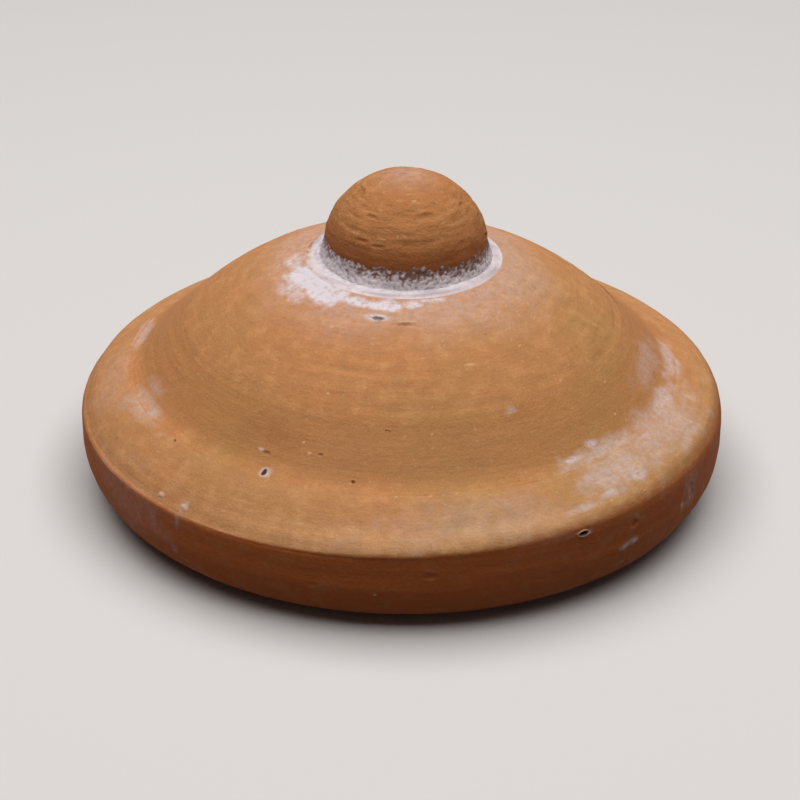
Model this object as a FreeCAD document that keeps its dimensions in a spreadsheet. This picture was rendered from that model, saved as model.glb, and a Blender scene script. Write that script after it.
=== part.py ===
# Tagine pot in unglazed earthenware: a low dish with a broad brim, a domed lid that stands in the
# gallery inside that brim, a ball knob on the lid's crown, and the luting that beds the knob.
# Millimetres, +Z up, origin at the middle of the dish's foot.
import FreeCAD, Part
import dataclasses
import math
import os
import types
import Sketcher

SHEET = "Sizes"

# Driving sizes, each set on its own. Radii run from the pot's axis, levels from each piece's own seat.
DISH_SIZES = {
    "belly_radius": 140.0,
    "belly_rounding": 26.0,
    "belly_wall": 22.0,
    "shoulder_height": 45.6,
    "shoulder_rounding": 14.5,
    "brim_rise": 10.4,
    "crest_rounding": 2.0,
    "gallery_radius": 113.5,
    "gallery_depth": 10.0,
    "ledge_width": 10.5,
    "lip_thickness": 8.0,
    "lip_rounding": 3.0,
    "undercut_rounding": 8.0,
    "bowl_rounding": 14.0,
    "floor_thickness": 12.0,
}
LID_SIZES = {
    "lid_clearance": 1.3,
    "lid_edge_height": 8.2,
    "lid_edge_rounding": 1.5,
    "lid_turn_rounding": 5.0,
    "seat_width": 9.0,
    "dome_rise": 49.0,
    "dome_curve": 127.0,
    "dome_wall": 9.0,
    "ceiling_rounding": 10.0,
    "crown_radius": 42.5,
    "crown_thickness": 12.0,
}
KNOB_SIZES = {
    "neck_radius": 28.8,
    "neck_height": 2.0,
    "knob_radius": 36.0,
    "knob_undercut": 5.4,
    "knob_edge_rounding": 4.0,
    "knob_rise": 31.0,
}
COLLAR_SIZES = {
    "collar_margin": 1.5,
    "collar_edge_height": 1.1,
    "collar_rounding": 0.5,
    "luting_gap": 0.1,
}

# The most of a wall that a rounding takes: at its foot, at its head, and at each edge of a lip.
FOOT_SHARE = 0.6
HEAD_SHARE = 0.35
EDGE_SHARE = 0.45


class Length:
    """A length together with the sheet expression that drives it."""

    def __init__(self, text, value):
        self.text = text
        self.value = value

    def __add__(self, other):
        return Length(f"({self.text} + {other.text})", self.value + other.value)

    def __sub__(self, other):
        return Length(f"({self.text} - {other.text})", self.value - other.value)

    def within(self, share, wall):
        """This rounding, limited to a share of a wall."""
        return Length(f"min({self.text}; {share} * {wall.text})", min(self.value, share * wall.value))


ZERO = Length("0", 0.0)


def settled_at(value):
    """A coordinate that other constraints settle, with the value that it settles at."""
    return Length(None, value)


def make_sheet(doc):
    """Write the driving sizes to the sheet and give them back as lengths."""
    sheet = doc.addObject("Spreadsheet::Sheet", SHEET)
    lengths = types.SimpleNamespace()
    rows = {**DISH_SIZES, **LID_SIZES, **KNOB_SIZES, **COLLAR_SIZES}
    for row, (alias, size) in enumerate(rows.items(), start=1):
        sheet.set(f"A{row}", alias)
        sheet.set(f"B{row}", str(size))
        sheet.setAlias(f"B{row}", alias)
        setattr(lengths, alias, Length(f"{SHEET}.{alias}", size))
    doc.recompute()
    return lengths


@dataclasses.dataclass
class Corner:
    """A corner of a half-section, rounded where it has a rounding.

    The edge that leaves it is straight, or an arc about bulge_centre or hollow_centre.
    """

    radius: Length
    level: Length
    rounding: Length = None
    bulge_centre: FreeCAD.Vector = None
    hollow_centre: FreeCAD.Vector = None

    @property
    def point(self):
        """The corner as a point of the sketch."""
        return FreeCAD.Vector(self.radius.value, self.level.value, 0)


def left_of(direction):
    """The direction a quarter turn to the left."""
    return FreeCAD.Vector(-direction.y, direction.x, 0)


def bulge_centre_between(start, end, curve):
    """Centre of the arc that runs anticlockwise between two points with that radius."""
    half = (end - start) * 0.5
    reach = math.sqrt(curve ** 2 - half.Length ** 2)
    return start + half + left_of(half).normalize() * reach


class HalfSection:
    """A closed half-section on its body's XZ plane, with radius across and level up.

    Its corners go round anticlockwise. Each one is held at its radius and its level, as a point that
    stays where it is when the corner is rounded.
    """

    LEVEL_AXIS, TURN_AXIS = range(-1, -3, -1)
    ORIGIN = LEVEL_AXIS
    START, END, CENTRE = range(1, 4)

    def __init__(self, body, name, corners):
        planes = [item for item in body.Origin.OriginFeatures if item.Role == "XZ_Plane"]
        self.sketch = body.newObject("Sketcher::SketchObject", name)
        self.sketch.AttachmentSupport = [(planes[0], "")]
        self.sketch.MapMode = "FlatFace"
        self.corners = corners
        count = len(corners)
        self.arrivals = [self.direction(number - 1, corners[number]) for number in range(count)]
        self.departures = [self.direction(number, corners[number]) for number in range(count)]
        self.edges = [self.draw_edge(number) for number in range(count)]
        for number in range(count):
            self.join(number)

    def direction(self, number, corner):
        """Direction of an edge where it passes a corner."""
        start = self.corners[number]
        end = self.corners[(number + 1) % len(self.corners)]
        if start.bulge_centre:
            return left_of(corner.point - start.bulge_centre).normalize()
        if start.hollow_centre:
            return -left_of(corner.point - start.hollow_centre).normalize()
        return (end.point - start.point).normalize()

    def trim(self, number):
        """How far a corner's rounding reaches along its edges."""
        corner = self.corners[number]
        if corner.rounding is None:
            return 0.0
        turn_angle = self.arrivals[number].getAngle(self.departures[number])
        return corner.rounding.value * math.tan(turn_angle / 2)

    def arrival_end(self, number):
        """Where the edge that arrives at a corner ends."""
        return self.corners[number].point - self.arrivals[number] * self.trim(number)

    def departure_start(self, number):
        """Where the edge that leaves a corner starts."""
        return self.corners[number].point + self.departures[number] * self.trim(number)

    def add_arc(self, start, end, centre):
        """Add the arc that runs anticlockwise from start to end."""
        circle = Part.Circle(centre, FreeCAD.Vector(0, 0, 1), start.distanceToPoint(centre))
        first = math.atan2(start.y - centre.y, start.x - centre.x)
        last = math.atan2(end.y - centre.y, end.x - centre.x)
        return self.sketch.addGeometry(Part.ArcOfCircle(circle, first, last))

    def draw_edge(self, number):
        """Draw the edge that leaves a corner; gives its number, its start point and its end point."""
        corner = self.corners[number]
        start = self.departure_start(number)
        end = self.arrival_end((number + 1) % len(self.corners))
        if corner.bulge_centre:
            return self.add_arc(start, end, corner.bulge_centre), self.START, self.END
        if corner.hollow_centre:
            return self.add_arc(end, start, corner.hollow_centre), self.END, self.START
        return self.sketch.addGeometry(Part.LineSegment(start, end)), self.START, self.END

    def join(self, number):
        """Join the two edges at a corner, sharp or rounded, and hold the corner."""
        corner = self.corners[number]
        arriving, _, arriving_end = self.edges[number - 1]
        leaving, leaving_start, _ = self.edges[number]
        if corner.rounding is None:
            self.constrain("Coincident", arriving, arriving_end, leaving, leaving_start)
            self.hold(leaving, leaving_start, corner)
            return
        mark = self.sketch.addGeometry(Part.Point(corner.point), True)
        self.constrain("PointOnObject", mark, self.START, arriving)
        self.constrain("PointOnObject", mark, self.START, leaving)
        self.hold(mark, self.START, corner)
        start = self.arrival_end(number)
        end = self.departure_start(number)
        inward = left_of(self.arrivals[number])
        if inward.dot(self.departures[number]) > 0:
            bend = self.add_arc(start, end, start + inward * corner.rounding.value)
            bend_start, bend_end = self.START, self.END
        else:
            bend = self.add_arc(end, start, start - inward * corner.rounding.value)
            bend_start, bend_end = self.END, self.START
        self.constrain("Tangent", arriving, arriving_end, bend, bend_start)
        self.constrain("Tangent", bend, bend_end, leaving, leaving_start)
        self.constrain("Radius", bend, length=corner.rounding)

    def hold(self, shape, point, corner):
        """Hold a point at a corner's radius and level, where these are driven."""
        if corner.radius is ZERO:
            self.constrain("PointOnObject", shape, point, self.TURN_AXIS)
        elif corner.radius.text:
            self.constrain("DistanceX", self.ORIGIN, self.START, shape, point, length=corner.radius)
        if corner.level is ZERO:
            self.constrain("PointOnObject", shape, point, self.LEVEL_AXIS)
        elif corner.level.text:
            self.constrain("DistanceY", self.ORIGIN, self.START, shape, point, length=corner.level)

    def constrain(self, kind, *places, length=None):
        """Add a constraint, driven by a length where it has one."""
        if length is None:
            self.sketch.addConstraint(Sketcher.Constraint(kind, *places))
            return
        number = self.sketch.addConstraint(Sketcher.Constraint(kind, *places, length.value))
        self.sketch.setExpression(f"Constraints[{number}]", length.text)

    def edge_from(self, corner):
        """Number of the edge that leaves a corner."""
        return self.edges[self.corners.index(corner)][0]

    def turn(self, body):
        """Turn the section round the pot's axis."""
        turned = body.newObject("PartDesign::Revolution", f"{self.sketch.Name}Turned")
        turned.Profile = self.sketch
        turned.ReferenceAxis = (self.sketch, ["V_Axis"])
        turned.Angle = 360.0


def new_body(doc, node, seat_level):
    """Make a body for one piece, seated at a level of the pot."""
    body = doc.addObject("PartDesign::Body", node)
    body.Label = node
    if seat_level is not ZERO:
        body.setExpression("Placement.Base.z", seat_level.text)
    return body


def make_dish(doc, size):
    """The dish: belly, brim, the gallery inside the brim's crest, and the bowl under its lip."""
    crest_level = size.shoulder_height + size.brim_rise
    ledge_level = crest_level - size.gallery_depth
    lip_radius = size.gallery_radius - size.ledge_width
    lip_level = ledge_level - size.lip_thickness
    lip_rounding = size.lip_rounding.within(EDGE_SHARE, size.lip_thickness)
    bowl_radius = size.belly_radius - size.belly_wall
    bowl_height = lip_level - size.floor_thickness
    belly_rounding = size.belly_rounding.within(FOOT_SHARE, size.shoulder_height)
    shoulder_rounding = size.shoulder_rounding.within(HEAD_SHARE, size.shoulder_height)
    bowl_rounding = size.bowl_rounding.within(FOOT_SHARE, bowl_height)
    undercut_rounding = size.undercut_rounding.within(HEAD_SHARE, bowl_height)

    body = new_body(doc, "base_dish", ZERO)
    section = HalfSection(body, "DishSection", [
        Corner(ZERO, ZERO),
        Corner(size.belly_radius, ZERO, belly_rounding),
        Corner(size.belly_radius, size.shoulder_height, shoulder_rounding),
        Corner(size.gallery_radius, crest_level, size.crest_rounding.within(EDGE_SHARE, size.gallery_depth)),
        Corner(size.gallery_radius, ledge_level),
        Corner(lip_radius, ledge_level, lip_rounding),
        Corner(lip_radius, lip_level, lip_rounding),
        Corner(bowl_radius, lip_level, undercut_rounding),
        Corner(bowl_radius, size.floor_thickness, bowl_rounding),
        Corner(ZERO, size.floor_thickness),
    ])
    section.turn(body)
    return body, ledge_level


def make_lid(doc, size, seat_level):
    """The lid: a thrown shell that stands on its flat edge, with a crown trimmed flat for the knob."""
    edge_radius = size.gallery_radius - size.lid_clearance
    edge_rounding = size.lid_edge_rounding.within(EDGE_SHARE, size.seat_width)
    inner_radius = edge_radius - size.seat_width
    inner_curve = size.dome_curve - size.dome_wall
    crown_level = size.lid_edge_height + size.dome_rise
    ceiling_level = crown_level - size.crown_thickness

    dome_foot = Corner(edge_radius, size.lid_edge_height, size.lid_turn_rounding)
    crown = Corner(size.crown_radius, crown_level)
    centre = bulge_centre_between(dome_foot.point, crown.point, size.dome_curve.value)
    dome_foot.bulge_centre = centre
    ceiling_reach = math.sqrt(inner_curve.value ** 2 - (ceiling_level.value - centre.y) ** 2)
    ceiling_radius = settled_at(centre.x + ceiling_reach)
    ceiling = Corner(ceiling_radius, ceiling_level, size.ceiling_rounding, hollow_centre=centre)
    inner_climb = math.sqrt(inner_curve.value ** 2 - (inner_radius.value - centre.x) ** 2)

    body = new_body(doc, "lid_dome", seat_level)
    section = HalfSection(body, "LidSection", [
        Corner(edge_radius, ZERO, edge_rounding),
        dome_foot,
        crown,
        Corner(ZERO, crown_level),
        Corner(ZERO, ceiling_level),
        ceiling,
        Corner(inner_radius, settled_at(centre.y + inner_climb)),
        Corner(inner_radius, ZERO, edge_rounding),
    ])
    outside = section.edge_from(dome_foot)
    inside = section.edge_from(ceiling)
    section.constrain("Radius", outside, length=size.dome_curve)
    section.constrain("Radius", inside, length=inner_curve)
    section.constrain("Coincident", outside, section.CENTRE, inside, section.CENTRE)
    section.turn(body)
    return body, seat_level + crown_level


def make_knob(doc, size, seat_level):
    """The knob: a ball cap over an undercut, on a short neck that stands on the crown."""
    edge_level = size.neck_height + size.knob_undercut
    top_level = edge_level + size.knob_rise

    edge = Corner(size.knob_radius, edge_level, size.knob_edge_rounding.within(EDGE_SHARE, size.knob_rise))
    top = Corner(ZERO, top_level)
    cap_curve = (size.knob_radius.value ** 2 + size.knob_rise.value ** 2) / (2 * size.knob_rise.value)
    edge.bulge_centre = FreeCAD.Vector(0, top_level.value - cap_curve, 0)

    body = new_body(doc, "knob", seat_level)
    section = HalfSection(body, "KnobSection", [
        Corner(ZERO, ZERO),
        Corner(size.neck_radius, ZERO),
        Corner(size.neck_radius, size.neck_height),
        edge,
        top,
    ])
    section.constrain("PointOnObject", section.edge_from(edge), section.CENTRE, section.TURN_AXIS)
    section.turn(body)
    return body


def make_collar(doc, size, seat_level):
    """The luting: a flat ring of lime slip on the crown that fills the corner round the neck."""
    inner_radius = size.neck_radius + size.luting_gap
    outer_radius = size.crown_radius - size.collar_margin
    rounding = size.collar_rounding.within(EDGE_SHARE, size.collar_edge_height)

    body = new_body(doc, "knob_collar", seat_level)
    section = HalfSection(body, "CollarSection", [
        Corner(inner_radius, ZERO),
        Corner(outer_radius, ZERO),
        Corner(outer_radius, size.collar_edge_height, rounding),
        Corner(inner_radius, size.neck_height),
    ])
    section.turn(body)
    return body


def check(doc, bodies):
    """Stop if any feature failed or any piece isn't one valid solid."""
    for item in doc.Objects:
        if "Invalid" in item.State or "Error" in item.State:
            raise RuntimeError(f"{item.Name} failed: {item.State}")
    for body in bodies:
        shape = body.Shape
        if shape.isNull() or not shape.isValid() or len(shape.Solids) != 1:
            raise RuntimeError(f"{body.Label} is not one valid solid")


def main():
    """Build the pot's pieces, check them and write one file for each."""
    doc = FreeCAD.newDocument("TaginePot")
    size = make_sheet(doc)
    dish, ledge_level = make_dish(doc, size)
    lid, crown_level = make_lid(doc, size, ledge_level)
    knob = make_knob(doc, size, crown_level)
    collar = make_collar(doc, size, crown_level)
    doc.recompute()

    bodies = [dish, lid, knob, collar]
    check(doc, bodies)
    os.makedirs("parts", exist_ok=True)
    for body in bodies:
        body.Shape.exportStep(f"parts/{body.Label}.step")
        box = body.Shape.BoundBox
        print(f"{body.Label}: {body.Shape.Volume:.0f} mm3, z {box.ZMin:.2f} to {box.ZMax:.2f}")


main()
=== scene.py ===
"""Dresses the tagine pot: hand-thrown ware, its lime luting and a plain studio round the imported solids."""
import itertools
import logging
import math
from collections.abc import Mapping, Sequence
from dataclasses import dataclass, field
from enum import Enum
from typing import Any, ClassVar, NamedTuple

import bmesh
import bpy
import numpy as np
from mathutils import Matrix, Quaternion, Vector
from numpy.typing import NDArray


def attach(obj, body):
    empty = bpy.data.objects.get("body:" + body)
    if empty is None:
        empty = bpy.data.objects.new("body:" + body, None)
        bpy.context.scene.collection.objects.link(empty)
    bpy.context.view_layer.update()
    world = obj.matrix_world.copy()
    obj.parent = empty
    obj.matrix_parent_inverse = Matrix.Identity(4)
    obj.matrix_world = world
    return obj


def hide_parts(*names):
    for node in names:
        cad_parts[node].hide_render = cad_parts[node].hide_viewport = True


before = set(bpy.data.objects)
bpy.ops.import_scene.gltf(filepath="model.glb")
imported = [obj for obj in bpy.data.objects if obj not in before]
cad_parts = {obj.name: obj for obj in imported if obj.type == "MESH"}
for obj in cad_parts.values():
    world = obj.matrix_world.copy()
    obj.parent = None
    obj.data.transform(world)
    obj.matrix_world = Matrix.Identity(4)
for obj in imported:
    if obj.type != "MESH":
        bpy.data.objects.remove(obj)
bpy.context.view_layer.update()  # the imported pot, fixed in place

MM = 0.001
Array = NDArray[np.float64]
Pair = tuple[float, float]
Socket = bpy.types.NodeSocket
Tree = bpy.types.NodeTree
log = logging.getLogger("tagine_pot")


def srgb(code: str) -> tuple[float, float, float, float]:
    """Turn an sRGB hex code such as #C08A5C into a linear colour.

    Args:
        code: The hex code, with its leading mark.

    Returns:
        Linear red, green and blue, and full alpha.
    """
    shares = [int(code[place:place + 2], 16) / 255 for place in (1, 3, 5)]
    linear = [share / 12.92 if share <= 0.04045 else ((share + 0.055) / 1.055) ** 2.4 for share in shares]
    return linear[0], linear[1], linear[2], 1.0


def add_node(tree: Tree, kind: str, inputs: Mapping[str | int, Any], **settings: Any) -> bpy.types.Node:
    """Add a node with its settings, and link or set its inputs.

    Args:
        tree: The node tree that gets the node.
        kind: The node's type without its ShaderNode prefix.
        inputs: Values, or sockets to link, by the input's name or number.
        **settings: The node's own settings.

    Returns:
        The new node.
    """
    node = tree.nodes.new(f"ShaderNode{kind}")
    for name, value in settings.items():
        setattr(node, name, value)
    for key, value in inputs.items():
        if isinstance(value, Socket):
            tree.links.new(value, node.inputs[key])
        else:
            node.inputs[key].default_value = value
    return node


def bare_tree(owner: bpy.types.Material | bpy.types.World) -> Tree:
    """Give a material or a world an empty node tree.

    Args:
        owner: The material or world.

    Returns:
        Its node tree.
    """
    owner.use_nodes = True
    owner.node_tree.nodes.clear()
    return owner.node_tree


def put(name: str, data: bpy.types.ID) -> bpy.types.Object:
    """Make an object and put it in the scene.

    Args:
        name: The object's name.
        data: Its mesh, lamp or camera.

    Returns:
        The object.
    """
    made = bpy.data.objects.new(name, data)
    bpy.context.scene.collection.objects.link(made)
    return made


def per_metre(size: float) -> float:
    """Pattern scale for lumps that are size millimetres across."""
    return 1 / (size * MM)


def smooth(values: Array, low: float | Array, high: float | Array) -> Array:
    """Rise smoothly from 0 at low to 1 at high.

    Args:
        values: Where to read the curve.
        low: Where the curve leaves 0.
        high: Where it reaches 1.

    Returns:
        The curve at each value.
    """
    share = np.clip((values - low) / (high - low), 0, 1)
    return share * share * (3 - 2 * share)


def around(turn: float, radius: float, level: float) -> tuple[float, float, float]:
    """The point at a turn from the front, in radians and positive to the right."""
    return radius * math.sin(turn), -radius * math.cos(turn), level


def bell(values: Array, middle: float, width: float) -> Array:
    """A bump of height 1 round a middle value."""
    return np.exp(-(((values - middle) / width) ** 2))


class Body(Enum):
    """The two bodies that the pot's pieces ride on."""

    DISH = "dish"
    LID = "lid"


class Slot(Enum):
    """The record's material slots."""

    DISH = "dish_earthenware"
    LID = "lid_earthenware"
    KNOB = "knob_earthenware"
    LUTING = "lime_luting"


class Mask(Enum):
    """What a vertex says to its finish, where 1 covers it, apart from ALONG in millimetres."""

    ALONG = "along"
    LIME = "lime"
    SHADE = "shade"
    WEAR = "wear"
    STAIN = "stain"
    BAND = "band"


class Draw(Enum):
    """What a piece draws its noise for, as a step from the piece's own seed."""

    WOBBLE = 0
    RINGS = 1
    LUMPS = 2
    GRAVEL = 3
    PATCH = 4
    DRIFT = 5
    CREEP = 6
    FRAY = 7
    WEATHER = 8
    CRUMBLE = 9
    RAVEL = 10


class Spot(Enum):
    """Places along a section that its piece measures from."""

    BELLY = "lowest part of the belly that the weather reaches"
    SHOULDER = "start of the shoulder's rounding"
    BRIM = "end of the shoulder's rounding"
    CREST = "start of the crest's rounding"
    FIT = "start of what fits another piece"
    FIT_END = "end of what fits another piece"
    DOME_FOOT = "foot of the dome"
    DOME = "where the slurry meets the dome"
    CROWN = "edge of the trimmed crown"
    UNDERCUT = "end of the knob's undercut"
    CAP = "start of the knob's ball"
    EDGE = "thin outer edge"
    NECK = "where the luting meets the neck"
    FACE = "foot of the fillet's face"
    TOP = "top of the fillet's face"


class Grain:
    """Smooth lumpy noise on a seeded lattice, the same at every run."""

    VALUES = 8191
    STRIDES = (73856093, 19349663, 83492791)

    def __init__(self, seed: int) -> None:
        """Draw the lattice's values."""
        self.values = np.random.default_rng(seed).uniform(-1, 1, self.VALUES)

    def at(self, points: Array, size: float) -> Array:
        """Read the noise.

        Args:
            points: Where to read it, one row each.
            size: How far its lumps lie apart.

        Returns:
            A value from -1 to 1 for each point.
        """
        cell = points / size
        base = np.floor(cell).astype(np.int64)
        ease = smooth(cell - base, 0, 1)
        total = np.zeros(len(points))
        for corner in itertools.product((0, 1), repeat=3):
            weight = np.prod(np.where(corner, ease, 1 - ease), axis=1)
            total += weight * self.values[((base + corner) @ self.STRIDES) % self.VALUES]
        return total


class Ring(NamedTuple):
    """One ring of a turned mesh."""

    radius: float
    level: float
    along: float
    segments: int


class Section:
    """Half-section of a turned piece, walked with the clay on its left and sampled as rings."""

    def __init__(self, radius: float, level: float, segments: int) -> None:
        """Start at a point.

        Args:
            radius: The point's radius.
            level: Its height.
            segments: How many vertices a ring has from here on.
        """
        self.segments = segments
        self.rings = [Ring(radius, level, 0.0, segments)]
        self.spots: dict[Spot, float] = {}

    @property
    def length(self) -> float:
        """Length of the section so far."""
        return self.rings[-1].along

    def note(self, spot: Spot, back: float = 0.0) -> None:
        """Note a spot where the section has come to, or that far back."""
        self.spots[spot] = self.length - back

    def to(self, radius: float, level: float) -> None:
        """Add one ring.

        Args:
            radius: The ring's radius.
            level: Its height.
        """
        last = self.rings[-1]
        step = math.hypot(radius - last.radius, level - last.level)
        self.rings.append(Ring(radius, level, last.along + step, self.segments))

    def line(self, radius: float, level: float, pitch: float) -> None:
        """Go straight to a point.

        Args:
            radius: The point's radius.
            level: Its height.
            pitch: How far the rings on the way lie apart, about.
        """
        start = self.rings[-1]
        span = math.hypot(radius - start.radius, level - start.level)
        for share in np.linspace(0, 1, max(1, round(span / pitch)) + 1)[1:]:
            self.to(
                start.radius + share * (radius - start.radius), start.level + share * (level - start.level)
            )

    def arc(self, centre: Pair, radius: float, start: float, end: float, pitch: float) -> None:
        """Go round a centre.

        Args:
            centre: The centre's radius and level.
            radius: The arc's own radius.
            start: Angle above the outward direction where the arc starts, in degrees.
            end: Angle where it ends.
            pitch: How far its rings lie apart, about.
        """
        span = math.radians(abs(end - start)) * radius
        for angle in np.radians(np.linspace(start, end, max(2, round(span / pitch)) + 1)[1:]):
            self.to(centre[0] + radius * math.cos(angle), centre[1] + radius * math.sin(angle))

    def turned(self, closed: bool = False) -> bmesh.types.BMesh:
        """Turn the section round the pot's axis.

        Args:
            closed: Whether the last ring joins the first, as on a hoop.

        Returns:
            The mesh, in millimetres, with each vertex's place along the section.
        """
        made = bmesh.new()
        along = made.verts.layers.float.new(Mask.ALONG.value)
        rows = []
        for ring in self.rings:
            count = ring.segments if ring.radius > 0 else 1
            row = []
            for turn in np.linspace(0, 2 * math.pi, count, endpoint=False):
                vertex = made.verts.new(around(turn, ring.radius, ring.level))
                vertex[along] = ring.along
                row.append(vertex)
            rows.append(row)
        pairs = list(itertools.pairwise(rows))
        if closed:
            pairs.append((rows[-1], rows[0]))
        for lower, upper in pairs:
            self.join(made, lower, upper)
        return made

    @staticmethod
    def join(
        made: bmesh.types.BMesh, lower: Sequence[bmesh.types.BMVert], upper: Sequence[bmesh.types.BMVert]
   ) -> None:
        """Join two rings with faces, also where one has half as many vertices or is a single one.

        Args:
            made: The mesh that holds the rings.
            lower: The ring that the section came from.
            upper: The ring that it goes to.
        """
        most = max(len(lower), len(upper))
        for place in range(most):
            corners = [
                lower[place * len(lower) // most],
                lower[(place + 1) * len(lower) // most % len(lower)],
                upper[(place + 1) * len(upper) // most % len(upper)],
                upper[place * len(upper) // most],
            ]
            kept = [corner for number, corner in enumerate(corners) if corner is not corners[number - 1]]
            made.faces.new(kept)


@dataclass(frozen=True)
class Place:
    """An oval on the outside of the pot.

    Azimuth is in degrees from the front, positive to the right; the rest is in millimetres, with the
    width measured round the pot and the height up its slope.
    """

    azimuth: float
    radius: float
    level: float
    width: float
    height: float

    @property
    def middle(self) -> Array:
        """The oval's middle."""
        return np.array(around(math.radians(self.azimuth), self.radius, self.level))

    def spread(self, points: Array) -> Array:
        """Distance from the middle, where 1 is the oval's edge.

        Args:
            points: Places on the ware.

        Returns:
            The distance of each point.
        """
        turn = math.radians(self.azimuth)
        offset = points - self.middle
        across = offset @ np.array([math.cos(turn), math.sin(turn), 0.0])
        rest = np.sqrt(np.maximum((offset ** 2).sum(axis=1) - across ** 2, 0))
        return np.hypot(2 * across / self.width, 2 * rest / self.height)


class Relief(NamedTuple):
    """How a kind of mark is shaped and coloured, as shares of its depth and of each mask."""

    sink: float = 1.0
    floor: float = 0.0
    rim: float = 0.0
    # share of painted shade in the mark's hollow
    shade: float = 0.0
    limed_rim: float = 0.0
    worn: float = 0.0


class MarkKind(Enum):
    """Kinds of mark in the fired clay."""

    POP_OUT = Relief(floor=0.3, rim=0.3, shade=1.0, limed_rim=0.45)
    PIN_HOLE = Relief(floor=0.1, rim=0.1, shade=0.5)
    CHIP = Relief(floor=0.45, worn=0.7)
    DENT = Relief(rim=0.12, shade=0.12)
    FLECK = Relief(sink=-1.0, worn=1.4)


@dataclass(frozen=True)
class Mark(Place):
    """A mark in the clay."""

    depth: float
    kind: MarkKind


@dataclass(frozen=True)
class Patch(Place):
    """A patch of lime bloom or of stain."""

    strength: float


class Weathering(NamedTuple):
    """Marks of one kind that are strewn over the side that the photograph doesn't show."""

    kind: MarkKind
    count: int
    size: float
    depth: float


class Skin(NamedTuple):
    """A turned piece's vertices before the hand's unevenness, in millimetres."""

    points: Array
    normals: Array
    along: Array

    @property
    def level(self) -> Array:
        """Height of each vertex."""
        return self.points[:, 2]

    @property
    def turn(self) -> Array:
        """Angle from the front, positive to the right, in radians."""
        return np.arctan2(self.points[:, 0], -self.points[:, 1])

    @property
    def degrees(self) -> Array:
        """Angle from the front, positive to the right, in degrees."""
        return np.degrees(self.turn)


class Veil(NamedTuple):
    """A colour laid over those below it, from none where its noise is low to most where it is high."""

    noise: Socket
    low: float
    high: float
    most: float
    colour: str


@dataclass(frozen=True)
class Finish:
    """A matt skin whose colours are laid over one another and broken up by noise."""

    name: str

    NOISE_LOW = 0.3
    NOISE_HIGH = 0.7
    RELIEF_STEP = 0.5 * MM

    def dress(self, tree: Tree) -> None:
        """Lay the finish's colours and relief."""
        raise NotImplementedError

    def material(self) -> bpy.types.Material:
        """Make the finish.

        Returns:
            The material.
        """
        made = bpy.data.materials.new(self.name)
        self.dress(bare_tree(made))
        return made

    @staticmethod
    def veiled(tree: Tree, tone: Any, veils: Sequence[Veil]) -> Socket:
        """Lay veils of colour over a tone.

        Args:
            tree: The material's node tree.
            tone: The colour below, or the socket that gives it.
            veils: The veils, from the lowest up.

        Returns:
            The colour on top.
        """
        for noise, low, high, most, colour in veils:
            share = add_node(
                tree, "MapRange", {"Value": noise, "From Min": low, "From Max": high, "To Max": most}
            ).outputs["Result"]
            tone = add_node(tree, "Mix", {0: share, 6: tone, 7: srgb(colour)}, data_type="RGBA").outputs[2]
        return tone

    def broken(self, tree: Tree, mask: Socket, noise: Socket, sway: float) -> Socket:
        """Break a mask's soft edge up with a noise.

        Args:
            tree: The material's node tree.
            mask: The soft mask.
            noise: The noise that breaks it.
            sway: How far the noise pushes the edge.

        Returns:
            The broken mask, 0 where the soft one is 0.
        """
        push = add_node(
            tree, "MapRange",
            {"Value": noise, "From Min": self.NOISE_LOW, "From Max": self.NOISE_HIGH,
             "To Min": 1 - sway, "To Max": 1 + sway},
            clamp=False,
        ).outputs["Result"]
        return add_node(tree, "Math", {0: mask, 1: push}, operation="MULTIPLY", use_clamp=True).outputs[0]

    def close(self, tree: Tree, surface: Mapping[str, Any], height: Socket, relief: float) -> None:
        """End a material in one shader over a fine relief.

        Args:
            tree: The material's node tree.
            surface: The shader's colour, roughness and gloss.
            height: The relief's height.
            relief: How strongly it shows.
        """
        bump = add_node(tree, "Bump", {"Height": height, "Strength": relief, "Distance": self.RELIEF_STEP})
        shader = add_node(tree, "BsdfPrincipled", {**surface, "Normal": bump.outputs["Normal"]})
        add_node(tree, "OutputMaterial", {"Surface": shader.outputs["BSDF"]})


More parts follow.
